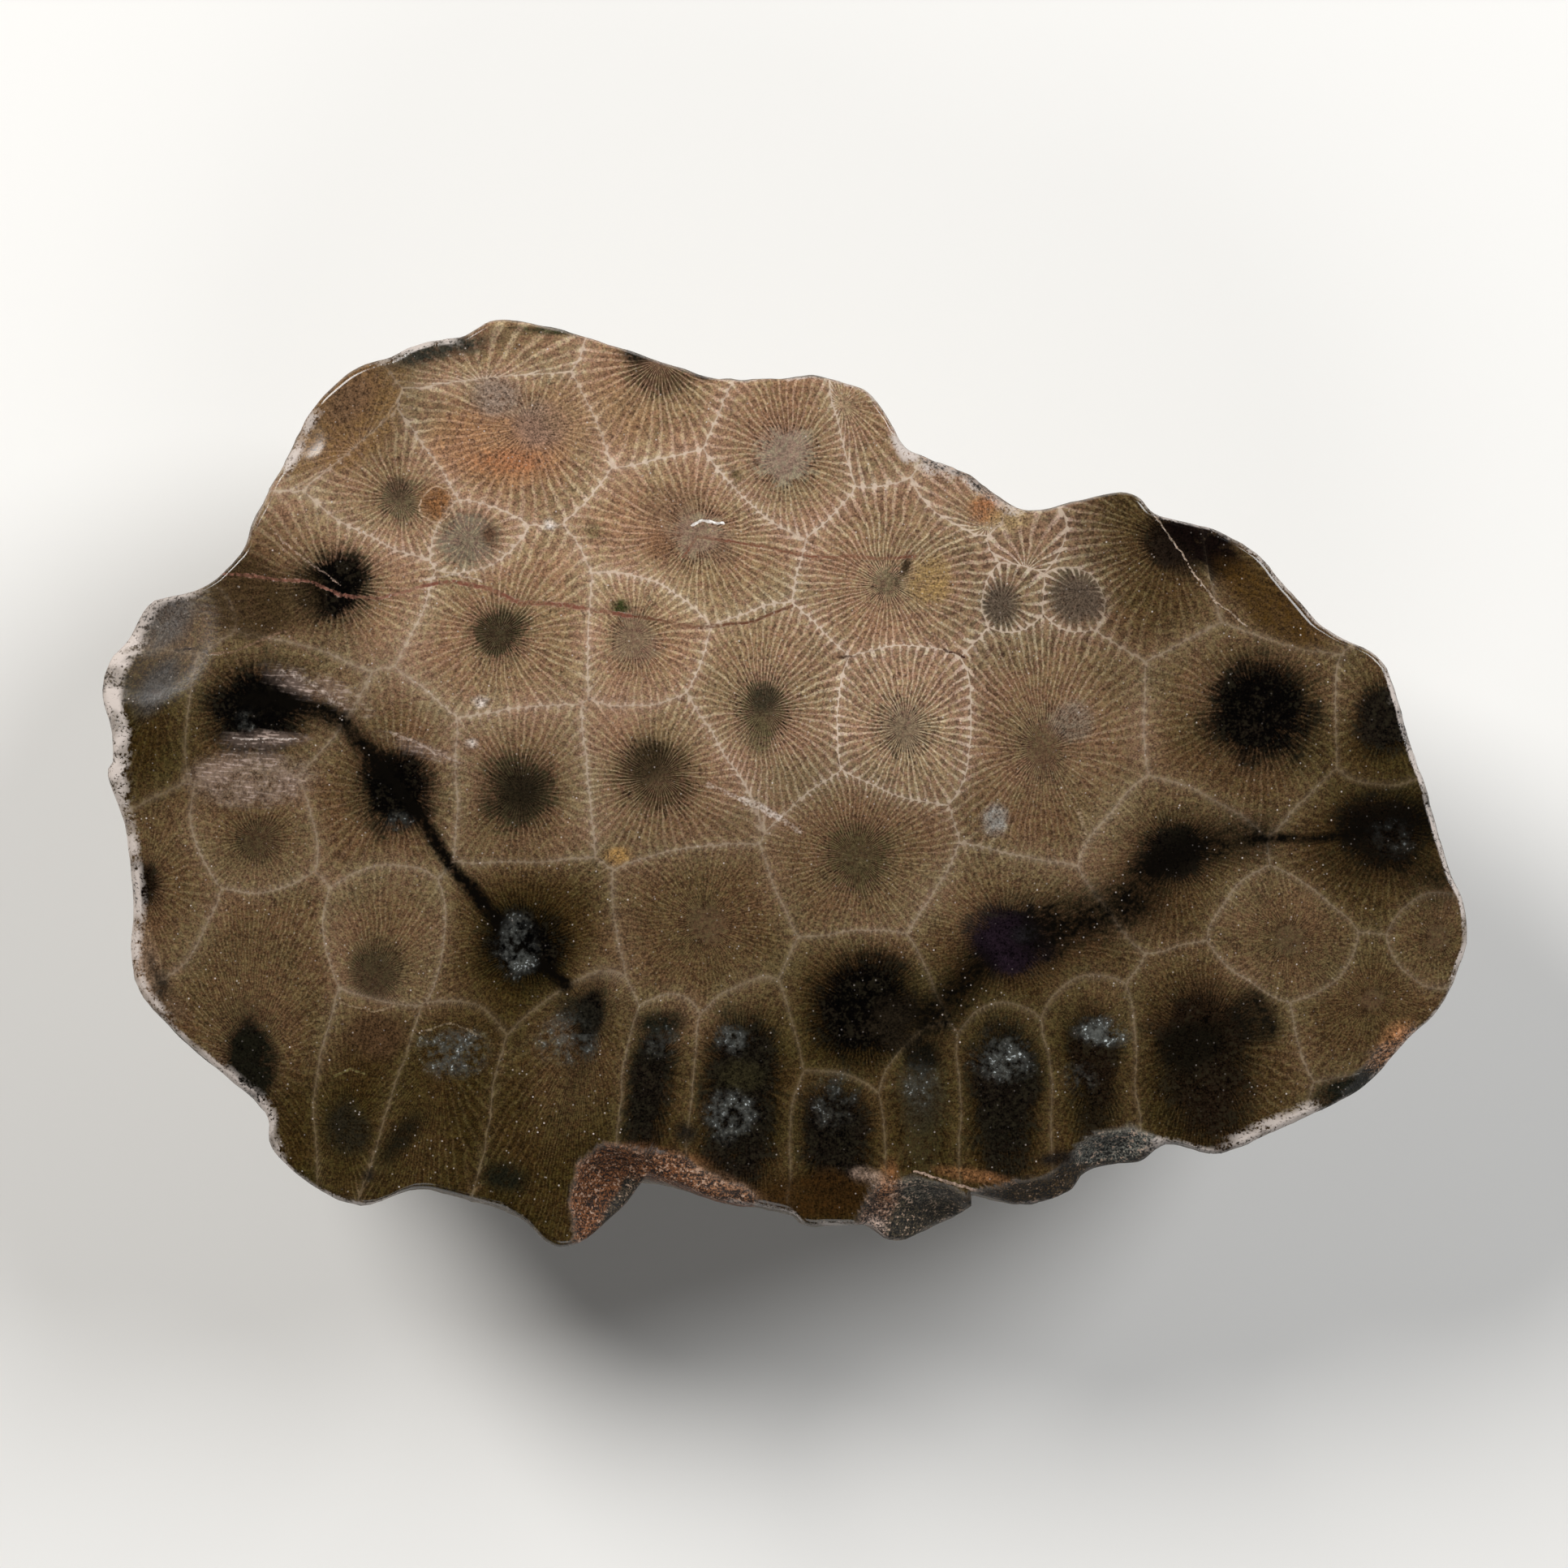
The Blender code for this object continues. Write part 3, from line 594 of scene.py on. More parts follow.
def cloud(points, size, field, layers=2, channel=0):
    """Smooth random values from -1 to 1 at these points, with lumps of about this size."""
    seed = SEEDS[field] + channel
    total = np.zeros(len(points))
    for layer in range(layers):
        at = points / size * 2**layer + 11.3 * (seed + 1)
        low = np.floor(at)
        t = at - low
        t = t * t * (3 - 2 * t)
        value = np.zeros(len(points))
        for corner in np.ndindex(2, 2, 2):
            weight = np.prod(np.where(corner, t, 1 - t), axis=1)
            value += weight * hashed(low + corner, seed)
        total += (2 * value - 1) * 0.5**layer
    return total / (2 - 0.5 ** (layers - 1))


def drift(points, size, field, layers=2):
    """Smooth random steps in x and y, each from -1 to 1."""
    return np.stack([cloud(points, size, field, layers, channel) for channel in (0, 1)], axis=1)


def as_points(at, height=0.0):
    """Places seen from above as points at this height."""
    return np.column_stack([at, np.broadcast_to(height, len(at))])


def outline_curve(steps=24):
    """The outline as a smooth closed curve through its points, in metres."""
    points = np.array([point for stretch in OUTLINE_MM.values() for point in stretch]) * MM
    before, after, beyond = (np.roll(points, shift, axis=0) for shift in (1, -1, -2))
    t = (np.arange(steps) / steps)[None, :, None]
    before, here, after, beyond = (p[:, None, :] for p in (before, points, after, beyond))
    curve = 0.5 * (
        2 * here
        + (after - before) * t
        + (2 * before - 5 * here + 4 * after - beyond) * t**2
        + (3 * here - before - 3 * after + beyond) * t**3
    )
    return curve.reshape(-1, 2)


def reach_of(angles):
    """Distance from the middle to the outline in each direction."""
    curve = outline_curve()
    directions = np.arctan2(curve[:, 1], curve[:, 0])
    order = np.argsort(directions)
    distances = np.hypot(curve[:, 0], curve[:, 1])[order]
    return np.interp(angles, directions[order], distances, period=2 * np.pi)


def softened_reach_of(angles, spread=0.22):
    """The same distance with the scallops worn away, as an average over nearby directions."""
    offsets = np.linspace(-2.5, 2.5, 21)
    weights = np.exp(-0.5 * offsets**2)
    total = sum(w * reach_of(angles + spread * o) for w, o in zip(weights, offsets))
    return total / weights.sum()


def worn_places(x, y):
    """How far the worn and broken places lie below the even edge, and how dull they are."""
    at = np.stack([x, y], axis=1) / MM
    broken = fracture_cover(at)[2]
    depth = np.zeros_like(x)
    dull = np.zeros_like(x)
    for middle_x, middle_y, reach, drop, only_broken in WORN_PLACES_MM.values():
        away = np.hypot(at[:, 0] - middle_x, at[:, 1] - middle_y) / reach
        share = np.exp(-(away**2) * 1.6) * np.where(only_broken, broken, 1)
        depth += drop * MM * share
        dull = np.maximum(dull, smoothstep(share * drop, 0.05, 0.6))
    return depth, dull


def face_height(x, y):
    """Height of the polished face, a little lower towards the ends."""
    return HEIGHT - CROWN * ((x / FACE_HALF[0]) ** 2 * 0.75 + (y / FACE_HALF[1]) ** 2 * 0.25)


def stone_places(angle, ring):
    """Places of the stone's points, and how bare, dull and far inside the edge each is."""
    reach = reach_of(angle)
    soft_reach = softened_reach_of(angle)
    along = np.stack([np.cos(angle), np.sin(angle)])
    edge = as_points((along * reach).T)
    rim = RIM * (1 + RIM_UNEVENNESS * cloud(edge, 3.5 * MM, "rim width"))
    reach = reach + EDGE_RAGGEDNESS * cloud(edge, 1.9 * MM, "ragged edge", 3)

    on_face = ring <= FACE_RINGS
    on_rim = ~on_face & (ring <= FACE_RINGS + RIM_RINGS)
    share = np.where(on_face, (ring / FACE_RINGS) ** 0.92, 1)
    turn = np.where(on_rim, (ring - FACE_RINGS) / RIM_RINGS * np.pi / 2, 0)
    x, y = along * (reach - rim + rim * np.sin(turn)) * share
    worn_drop, dull = worn_places(x, y)
    broken = fracture_cover(np.stack([x, y], axis=1) / MM)[0]
    height = face_height(x, y) - worn_drop - rim * (1 - np.cos(turn))

    body = np.clip((ring - FACE_RINGS - RIM_RINGS) / BODY_RINGS, 0, 1) ** 1.25 * np.pi / 2
    across = np.cos(body) ** (2 / BODY_ROUNDNESS)
    down = np.sin(body) ** (2 / BODY_ROUNDNESS)
    worn = smoothstep(down, 0.0, 0.85)
    sides = reach * (1 - worn) + soft_reach * worn
    sides = sides + SIDE_BULGE * np.sin(np.pi * np.clip(down / 0.35, 0, 1))
    uneven = np.sin(3 * angle + 4 * down + 0.6) + 0.7 * np.sin(5 * angle - 6 * down + 2.1)
    uneven += 0.4 * np.sin(8 * angle + 9 * down)
    sides = sides * (1 + WANDER * uneven * smoothstep(down, 0.05, 0.6))
    rim_x, rim_y = along * reach
    rim_drop, _ = worn_places(rim_x, rim_y)
    rim_height = face_height(rim_x, rim_y) - rim_drop * (1 - worn) - rim
    on_body = ~on_face & ~on_rim
    x = np.where(on_body, along[0] * sides * across + BASE_SHIFT[0] * worn, x)
    y = np.where(on_body, along[1] * sides * across + BASE_SHIFT[1] * worn, y)
    height = np.where(on_body, rim_height * (1 - down * (1 + REST_SHARE)), height)

    round_edge = smoothstep(turn, 0.95, 1.5) + on_body
    inset = (reach - np.hypot(x, y)) / MM
    inset = np.where(on_body, np.minimum(height - rim_height, 0) / MM, inset)
    bare = np.clip(np.maximum(round_edge, broken), 0, 1)
    places = np.stack([x, y, np.maximum(height, 0)], axis=1)
    return roughened(places, along, bare, down), {"bare": bare, "dull": dull, "inset": inset}


def roughened(places, along, bare, down):
    """The places with lumps, grit and pits where the stone is bare: upwards on top, outwards below."""
    pitted = smoothstep(cloud(places, 2.2 * MM, "pits"), 0.32, 0.6) * (down < 0.3)
    lumps = LUMP_HEIGHT * cloud(places, 2.6 * MM, "lumps") + GRIT_HEIGHT * cloud(places, 0.9 * MM, "grit")
    clear_of_table = smoothstep(places[:, 2], 0.2 * MM, 2 * MM)
    push = (lumps - PIT_DEPTH * pitted) * bare * clear_of_table
    flat = smoothstep(np.abs(places[:, 2] - face_height(*places[:, :2].T)), 3 * MM, 0.5 * MM)
    return places + push[:, None] * np.stack([*(along * (1 - flat)), flat], axis=1)


def away_from_course(at, course):
    """Distance in millimetres of each place from a course of straight stretches."""
    nearest = np.full(len(at), np.inf)
    for start, end in zip(course[:-1], course[1:]):
        start, run = np.array(start), np.subtract(end, start)
        share = np.clip((at - start) @ run / (run @ run), 0, 1)
        nearest = np.minimum(nearest, np.linalg.norm(at - start - share[:, None] * run, axis=1))
    return nearest


def depth_inside(at, outline):
    """How far inside a closed outline each place is, in millimetres; less than 0 outside it."""
    crossings = np.zeros(len(at), dtype=int)
    for (x0, y0), (x1, y1) in zip(outline, outline[1:] + outline[:1]):
        spans = (at[:, 1] < y0) != (at[:, 1] < y1)
        cross_x = x0 + (at[:, 1] - y0) / (y1 - y0 if y1 != y0 else 1.0) * (x1 - x0)
        crossings += spans & (at[:, 0] < cross_x)
    away = away_from_course(at, outline + outline[:1])
    return np.where(crossings % 2 == 1, away, -away)


def fracture_cover(at, narrowing=0.0):
    """How far the broken places cover each place, their colour, and how deep each has broken away.

    Each broken place is made smaller all round by the narrowing, in millimetres.
    """
    ragged = at + 0.45 * drift(as_points(at), 1.6, "ragged breaks", 3)
    cover = np.zeros(len(at))
    deep = np.zeros(len(at))
    colour = np.zeros((len(at), 3))
    for outline, shade in FRACTURES_MM.values():
        inside = depth_inside(ragged, outline) - narrowing
        share = smoothstep(inside, -0.2, 0.2)
        colour = colour * (1 - share[:, None]) + share[:, None] * np.array(shade)
        cover = np.maximum(cover, share)
        deep = np.maximum(deep, smoothstep(inside, -0.1, 1.1))
    return cover, colour, deep


def inside_patch(at, x, y, half_width, half_height, lean=0.0):
    """Share of each place in a soft leaning oval: 1 inside, 0 outside."""
    turn = np.radians(lean)
    across = (at[:, 0] - x) * np.cos(turn) + (at[:, 1] - y) * np.sin(turn)
    up = (at[:, 1] - y) * np.cos(turn) - (at[:, 0] - x) * np.sin(turn)
    away = np.hypot(across / half_width, up / half_height)
    soft = np.clip(0.55 / np.minimum(half_width, half_height), 0.12, 0.5)
    return 1 - smoothstep(away, 1 - soft, 1 + soft)


def outer_columns():
    """Rows for the plain columns beyond the face, like those of the table of columns."""
    middle_x, middle_y, half_width, half_height = np.array([row[:4] for row in COLUMNS_MM]).T
    draw = np.random.default_rng(OUTER_COLUMNS_SEED)
    step = OUTER_SPACING_MM
    for j in range(-8, 9):
        for i in range(-9, 10):
            even_place = np.array([step * (i + 0.5 * (j % 2)), step * 0.87 * j])
            x, y = even_place + draw.uniform(-OUTER_SHIFT_MM, OUTER_SHIFT_MM, 2)
            size = draw.uniform(*OUTER_SIZES) * step / 2
            eye = draw.uniform(*OUTER_EYES)
            away = np.hypot((x - middle_x) / half_width, (y - middle_y) / half_height)
            beyond_face = np.hypot(x * MM / FACE_HALF[0], y * MM / FACE_HALF[1]) > 1.15
            if away.min() > 1.75 and beyond_face:
                yield (x, y, size, size, 0, 1, x, y, eye, "dark grey")


def coral_columns():
    """All columns: places, shapes, eyes and eye colours, those beyond the face included."""
    rows = [*COLUMNS_MM, *outer_columns()]
    numbers = np.array([row[:-1] for row in rows])
    x, y, half_width, half_height, lean, roundness, eye_x, eye_y, eye_share = numbers.T
    cos, sin = np.cos(np.radians(lean)), np.sin(np.radians(lean))
    shape = [
        cos**2 / half_width + sin**2 / half_height,
        cos * sin * (1 / half_width - 1 / half_height),
        sin**2 / half_width + cos**2 / half_height,
    ]
    radius = np.sqrt(half_width * half_height)
    density = PLATES_PER_MM[0] + (PLATES_PER_MM[1] - PLATES_PER_MM[0]) * smoothstep(-y, -2, 12)
    plates = 2 * np.round(density * radius)
    trail = np.where(y < LOWEST_ROW_MM, TRAIL, 1.0)
    return {
        "place": np.stack([x, y, radius], axis=1),
        "shape": np.stack(shape, axis=1),
        "eye": np.stack([eye_x, eye_y, eye_share], axis=1),
        "colour": np.array([EYE_COLOURS[row[-1]] for row in rows]),
        "growth": np.stack([plates, trail, roundness / 2], axis=1),
    }


def nearest_columns(at, columns):
    """The nearest columns to each place, nearest first, each in its own measure."""
    wide, cross, tall = columns["shape"].T
    _, trail, half_roundness = columns["growth"].T
    best = []
    for part in np.array_split(at, 12):
        off_x, off_y = (part[:, None, :] - columns["place"][None, :, :2]).transpose(2, 0, 1)
        u = wide * off_x + cross * off_y
        v = cross * off_x + tall * off_y
        away = (u**2 + np.maximum(v, v * trail) ** 2) ** half_roundness
        best.append(np.argsort(away, axis=1)[:, :NEAREST])
    return np.concatenate(best)


def nearest_cracks(at):
    """For each place the nearest stretch of crack: its ends, half width, strength and colour."""
    found = np.full(len(at), np.inf)
    start = np.tile((999.0, 999.0, 0.1), (len(at), 1))
    end = np.tile((999.0, 999.0, 0.0), (len(at), 1))
    colour = np.zeros((len(at), 3))
    for course, half_width, shade, strength in CRACKS_MM:
        for low, high in zip(course[:-1], course[1:]):
            away = away_from_course(at, [low, high])
            near = away < np.minimum(found, 2.5)
            found[near] = away[near]
            start[near] = (*low, half_width)
            end[near] = (*high, strength)
            colour[near] = shade
    return {"crack_start": start, "crack_end": end, "crack_colour": colour}


def add_attribute(mesh, name, domain, *values):
    """Stores a vector, given as one array or as its three numbers, on the mesh's points or faces."""
    vectors = values[0] if len(values) == 1 else np.column_stack(values)
    attribute = mesh.attributes.new(name, "FLOAT_VECTOR", domain)
    attribute.data.foreach_set("vector", np.ascontiguousarray(vectors, dtype=np.float32).ravel())


def blend_of(named_values, at):
    """A smooth blend, at each place, of values given at named places."""
    total = np.zeros(len(at))
    weights = np.full(len(at), 1e-6)
    for x, y, reach, tone in named_values.values():
        weight = np.exp(-((at[:, 0] - x) ** 2 + (at[:, 1] - y) ** 2) / (0.75 * reach) ** 2)
        total += weight * tone
        weights += weight
    return total / weights


def strongest(shares):
    """The greatest of several shares at each place."""
    return np.maximum.reduce(list(shares))


def veins_at(at, flat):
    """How dark the black veins make each place."""
    unevenness = 1 + 0.35 * cloud(flat, 2.5, "vein width")
    return strongest(
        darkness * (1 - smoothstep(away_from_course(at, course) / (half_width * unevenness), 0.0, 3.0))
        for course, half_width, darkness in VEINS_MM
    )


def stains_at(at, raggedness, depth, on_top, on_break):
    """How far stains and broken places cover each place, and their colour."""
    cover, shade, _ = fracture_cover(at, narrowing=3.2 * smoothstep(depth, 2.0, 7.0))
    stain = shade / np.maximum(cover, 1e-6)[:, None]
    cover = cover * on_break
    for *oval, colour, strength in PATCHES_MM.values():
        _, _, half_width, half_height, _ = oval
        ragged = at + raggedness * min(0.9, 0.4 * half_width, 0.4 * half_height)
        share = strength * inside_patch(ragged, *oval) * on_top
        total = share + cover * (1 - share)
        mixed = share[:, None] * np.array(colour) + (cover * (1 - share))[:, None] * stain
        stain = np.where(total[:, None] > 1e-6, mixed / np.maximum(total, 1e-6)[:, None], stain)
        cover = total
    return cover, stain


def chalk_at(at, flat, inset):
    """How much chalkiness and painted highlight the worn edge has: a thin broken line all round, mostly
    painted highlight, and wider bands on some courses.
    """
    patchy = smoothstep(cloud(flat, 1.6, "chalk line"), -0.2, 0.5)
    # Painted highlight: the thin broken bright line where the rounded rim catches the light.
    line = 0.3 * smoothstep(np.abs(inset - 0.05), 0.25, 0.05) * patchy
    unevenness = 1 + 0.4 * cloud(flat, 1.3, "chalk width")
    broken_up = 0.4 + 0.6 * smoothstep(cloud(flat, 1.1, "gaps in chalk"), -0.35, 0.15)
    bands = []
    for course, (inner, outer), strength in EDGE_CHALK_AND_HIGHLIGHT_MM:
        near = 1 - smoothstep(away_from_course(at, course), 1.5, 2.6)
        from_middle = np.abs(inset - (inner + outer) / 2) / ((outer - inner) / 2 * unevenness)
        bands.append(strength * near * (1 - smoothstep(from_middle, 0.7, 1.4)) * broken_up)
    return strongest([line, *bands])


def paint_points(mesh, places, finish):
    """Stores what changes slowly over the stone on its points. Returns each one's place of growth."""
    at = places[:, :2] / MM
    depth = np.maximum(face_height(*places[:, :2].T) - places[:, 2], 0) / MM
    inset = finish["inset"]
    flat = as_points(at)
    deep = as_points(at, -depth)
    centre = np.array(GROWTH_CENTRE_MM)
    spread = GROWTH_DEPTH_MM / (GROWTH_DEPTH_MM - depth)
    sway = 0.34 * drift(flat, 4.2, "sway") + 0.12 * drift(flat, 1.5, "small sway")
    growth = centre + (at - centre) * spread[:, None] + sway
    add_attribute(mesh, "growth", "POINT", *growth.T, finish["bare"])

    crisp = blend_of(CRISPNESS_MM, at) + 0.18 * cloud(flat, 5.0, "crispness")
    scratched = strongest(strength * inside_patch(at, *oval) for *oval, strength in SCRATCHED_MM)
    # Painted shade: how much the sides are darkened just below the rim.
    shade_under_rim = smoothstep(inset, -1.6, -0.1) * smoothstep(-inset, -0.02, 0.1)
    add_attribute(mesh, "crisp", "POINT", crisp, scratched, shade_under_rim)

    # Stains end raggedly a little way down the sides, those of the broken places furthest down.
    ragged_depth = depth + 2.2 * cloud(deep, 2.4, "ragged depth", 3)
    on_top = 1 - smoothstep(ragged_depth, 1.2, 4.5)
    on_break = 1 - smoothstep(ragged_depth, 3.5, 8.5)
    tone = blend_of(TONES_MM, at) + 0.06 * cloud(flat, 6.0, "tone")
    vein = veins_at(at + sway * 0.8, flat)
    raggedness = drift(flat, 2.2, "ragged patches", 3)
    crystal = strongest(
        strength * inside_patch(at + raggedness * 0.5 * min(oval[2:]), *oval)
        for *oval, strength in CRYSTALS_MM
    )
    add_attribute(mesh, "look", "POINT", tone, vein * on_top, crystal * on_top)

    astray = at + 2.6 * smoothstep(depth, 0.8, 6.0)[:, None] * drift(deep, 3, "stains astray", 3)
    cover, stain = stains_at(astray, raggedness, depth, on_top, on_break)
    add_attribute(mesh, "stain", "POINT", stain)
    # Its second number is chalkiness together with the painted highlight along the edge.
    add_attribute(mesh, "wear", "POINT", cover, chalk_at(at, flat, inset), finish["dull"])
    return growth


def faces_of(mesh):
    """The vertex at each corner of the faces, how many corners each has, and where they start."""
    corners = np.zeros(len(mesh.loops), dtype=np.int64)
    mesh.loops.foreach_get("vertex_index", corners)
    sizes = np.zeros(len(mesh.polygons), dtype=np.int64)
    mesh.polygons.foreach_get("loop_total", sizes)
    return corners, sizes, np.concatenate([[0], np.cumsum(sizes)[:-1]])


def lay_out_bake_map(mesh, places, angle, ring):
    """A UV map that gives the polished face most of the picture, then the sides and the base."""
    face_end = FACE_RINGS + RIM_RINGS // 2
    base_start = RINGS - MAP_BASE_RINGS
    within = 1 - 2 * MAP_MARGIN
    low, high = places[:, :2].min(axis=0), places[:, :2].max(axis=0)
    scale = within / (high - low).max()

    corners, sizes, starts = faces_of(mesh)
    lowest_ring = np.repeat(np.maximum.reduceat(ring[corners], starts), sizes)
    segment = (np.round(angle / (2 * np.pi) * SEGMENTS) % SEGMENTS)[corners]
    wraps = np.maximum.reduceat(segment, starts) - np.minimum.reduceat(segment, starts)
    wraps = np.repeat(wraps > SEGMENTS / 2, sizes)
    segment = np.where(wraps & (segment < SEGMENTS / 2), segment + SEGMENTS, segment)

    at = places[corners, :2]
    face = MAP_MARGIN + (at - low) * scale
    face[:, 1] += within - (high - low)[1] * scale
    strip_low, strip_high = MAP_STRIP
    down = (ring[corners] - face_end) / (base_start - face_end)
    across = MAP_MARGIN + segment / SEGMENTS * within
    strip = np.stack([across, strip_high - down * (strip_high - strip_low)], axis=1)
    base_low = places[ring >= base_start - 1, :2].min(axis=0)
    base = MAP_MARGIN + (at - base_low) * MAP_BASE_SCALE
    where = np.where((lowest_ring <= face_end)[:, None], face, strip)
    where = np.where((lowest_ring > base_start)[:, None], base, where)
    layer = mesh.uv_layers.new(name="OFBake")
    layer.data.foreach_set("uv", where.astype(np.float32).ravel())


def place_object(name, data):
    """Puts an object with this mesh, lamp or camera in the scene."""
    item = bpy.data.objects.new(name, data)
    bpy.context.scene.collection.objects.link(item)
    return item


def mesh_of(name, form):
    mesh = bpy.data.meshes.new(name)
    form.to_mesh(mesh)
    form.free()
    return mesh


def carve_stone():
    """The stone as one closed mesh: a sphere's rings moved onto the stone's own sections."""
    form = bmesh.new()
    bmesh.ops.create_uvsphere(form, u_segments=SEGMENTS, v_segments=RINGS, radius=1.0)
    mesh = mesh_of("petoskey_stone_fine", form)
    on_sphere = np.zeros(len(mesh.vertices) * 3)
    mesh.vertices.foreach_get("co", on_sphere)
    x, y, z = on_sphere.reshape(-1, 3).T
    angle = np.arctan2(y, x) % (2 * np.pi)
    ring = np.round(np.arccos(np.clip(z, -1, 1)) / np.pi * RINGS)
    places, finish = stone_places(angle, ring)
    box_middle = (places.min(axis=0) + places.max(axis=0)) / 2
    cad_middle = (np.array(cad_box[0]) + cad_box[1]) / 2
    shift = (cad_middle - box_middle) * (1, 1, 0)
    mesh.vertices.foreach_set("co", (places + shift).ravel())
    mesh.update()
    growth = paint_points(mesh, places, finish)
    lay_out_bake_map(mesh, places, angle, ring)

    corners, sizes, starts = faces_of(mesh)
    middles = np.add.reduceat(growth[corners], starts, axis=0) / sizes[:, None]
    columns = coral_columns()
    nearest = nearest_columns(middles, columns)
    for rank in range(NEAREST):
        for kind, values in columns.items():
            add_attribute(mesh, f"column_{kind}_{rank}", "FACE", values[nearest[:, rank]])
    for name, values in nearest_cracks(middles).items():
        add_attribute(mesh, name, "FACE", values)
    mesh.shade_smooth()
    return place_object("petoskey_stone_fine", mesh)


def math_step(operation):
    """A way to combine a Value with another one, or with a number, by this kind of Math node."""
    return lambda value, other: value.math(operation, other)


class Value:
    """A number that varies over a surface. Arithmetic on it adds Math nodes to its board."""

    def __init__(self, board, socket):
        self.board = board
        self.socket = socket

    def math(self, operation, *others):
        inputs = dict(enumerate((self, *others)))
        return self.board.value("ShaderNodeMath", {"operation": operation}, inputs)

    __add__ = __radd__ = math_step("ADD")
    __sub__ = math_step("SUBTRACT")
    __mul__ = math_step("MULTIPLY")
    __truediv__ = math_step("DIVIDE")
    __pow__ = math_step("POWER")
    __lt__ = math_step("LESS_THAN")
    at_least = math_step("MAXIMUM")
    at_most = math_step("MINIMUM")

    def __rsub__(self, other):
        return self * -1.0 + other

    def as_share(self):
        """Kept from 0 to 1."""
        return self.at_least(0.0).at_most(1.0)

    def ramp(self, low, high):
        """0 where this is low, 1 where it is high, with a smooth step between."""
        inputs = {"Value": self, "From Min": low, "From Max": high}
        return self.board.value("ShaderNodeMapRange", {"interpolation_type": "SMOOTHSTEP"}, inputs)


class Board:
    """A material's nodes."""

    def __init__(self, name):
        self.material = bpy.data.materials.new(name)
        self.material.use_nodes = True
        self.tree = self.material.node_tree
        self.tree.nodes.clear()

    def node(self, kind, settings=None, inputs=None):
        """Adds a node of this type, with its settings, then the values or links of its sockets."""
        made = self.tree.nodes.new(kind)
        for name, setting in (settings or {}).items():
            setattr(made, name, setting)
        for key, given in (inputs or {}).items():
            socket = made.inputs[key]
            if isinstance(given, Value):
                given = given.socket
            if isinstance(given, bpy.types.NodeSocket):
                self.tree.links.new(given, socket)
            elif socket.type == "RGBA":
                socket.default_value = (*given, 1.0)
            else:
                socket.default_value = given
        return made

    def value(self, kind, settings=None, inputs=None):
        return Value(self, self.node(kind, settings, inputs).outputs[0])

    def attribute(self, name):
        return self.node("ShaderNodeAttribute", {"attribute_name": name}).outputs["Vector"]

    def parts(self, vector):
        """The three numbers of a vector."""
        split = self.node("ShaderNodeSeparateXYZ", None, {0: vector})
        return [Value(self, socket) for socket in split.outputs]

    def vector(self, x, y, z):
        return self.node("ShaderNodeCombineXYZ", None, {0: x, 1: y, 2: z}).outputs[0]

    def vector_math(self, operation, vector, other):
        """Two vectors or colours put together, part by part."""
        inputs = {0: vector, 1: other}
        return self.node("ShaderNodeVectorMath", {"operation": operation}, inputs).outputs[0]

    def mix(self, share, low, high):
        """A colour between two colours."""
        return self.node("ShaderNodeMix", {"data_type": "RGBA"}, {0: share, 6: low, 7: high}).outputs[2]

    def choose(self, share, low, high):
        """One of two vectors."""
        return self.node("ShaderNodeMix", {"data_type": "VECTOR"}, {0: share, 4: low, 5: high}).outputs[1]

    def tinted(self, colour, share):
        """A colour made lighter or darker by a number."""
        inputs = {0: colour, "Scale": share}
        return self.node("ShaderNodeVectorMath", {"operation": "SCALE"}, inputs).outputs[0]

    def cast(self, colour, share, low, high):
        """A colour multiplied by one between two casts."""
        return self.vector_math("MULTIPLY", colour, self.mix(share, low, high))

    def spots(self, at, scale):
        """Distance to the nearest of scattered spots, as a share of their spacing."""
        inputs = {"Vector": at, "Scale": scale, "Randomness": 1.0}
        return self.value("ShaderNodeTexVoronoi", {"feature": "F1"}, inputs)

    def noise(self, at, scale, detail, roughness=0.5):
        """Smooth random values round 0.5, with lumps of about 1 / scale."""
        inputs = {"Vector": at, "Scale": scale, "Detail": detail, "Roughness": roughness}
        return self.value("ShaderNodeTexNoise", None, inputs)

    def finish(self, inputs):
        """Ends the nodes with a surface that has these inputs. Returns the material."""
        surface = self.node("ShaderNodeBsdfPrincipled", None, inputs)
        self.node("ShaderNodeOutputMaterial", None, {"Surface": surface.outputs[0]})
        return self.material


def length_of(x, y):
    return (x * x + y * y).math("SQRT")


class Rock(Board):
    """The stone's nodes, and what the mesh and the textures say of each place, by name."""

    def __init__(self, name):
        super().__init__(name)
        self.x, self.y, self.bare = self.parts_of("growth")
        self.tone, self.vein, self.crystal = self.parts_of("look")
        # The second number of the wear is chalkiness together with the painted highlight along the edge.
        self.cover, self.chalk, self.dull = self.parts_of("wear")
        crisp, self.scratched, self.shade_under_rim = self.parts_of("crisp")
        self.crisp = crisp.as_share()
        place = self.node("ShaderNodeTexCoord").outputs["Object"]
        self.at = self.tinted(place, 1 / MM)
        for texture, (scale, detail, roughness) in TEXTURES.items():
            setattr(self, texture, self.noise(self.at, scale, detail, roughness))
        across, up, _ = self.parts(self.at)
        along_scratches = self.vector(across * 0.7, (up + across * 0.07) * 5.5, 0.0)
        self.streaks = self.noise(along_scratches, 1.0, 2.0)
        self.mottle = self.swing(grain=1.6, speckle=1.3, fleck=1.8, fine=1.8, lumps=0.5)

    def parts_of(self, attribute):
        return self.parts(self.attribute(attribute))

    def blend(self, **weights):
        """A sum of the values with these names, each with its weight."""
        first, *others = (getattr(self, name) * weight for name, weight in weights.items())
        return sum(others, first)

    def swing(self, **sizes):
        """A sum of the textures with these names, moved from round 0.5 to round 0, by size."""
        first, *others = ((getattr(self, name) - 0.5) * size for name, size in sizes.items())
        return sum(others, first)


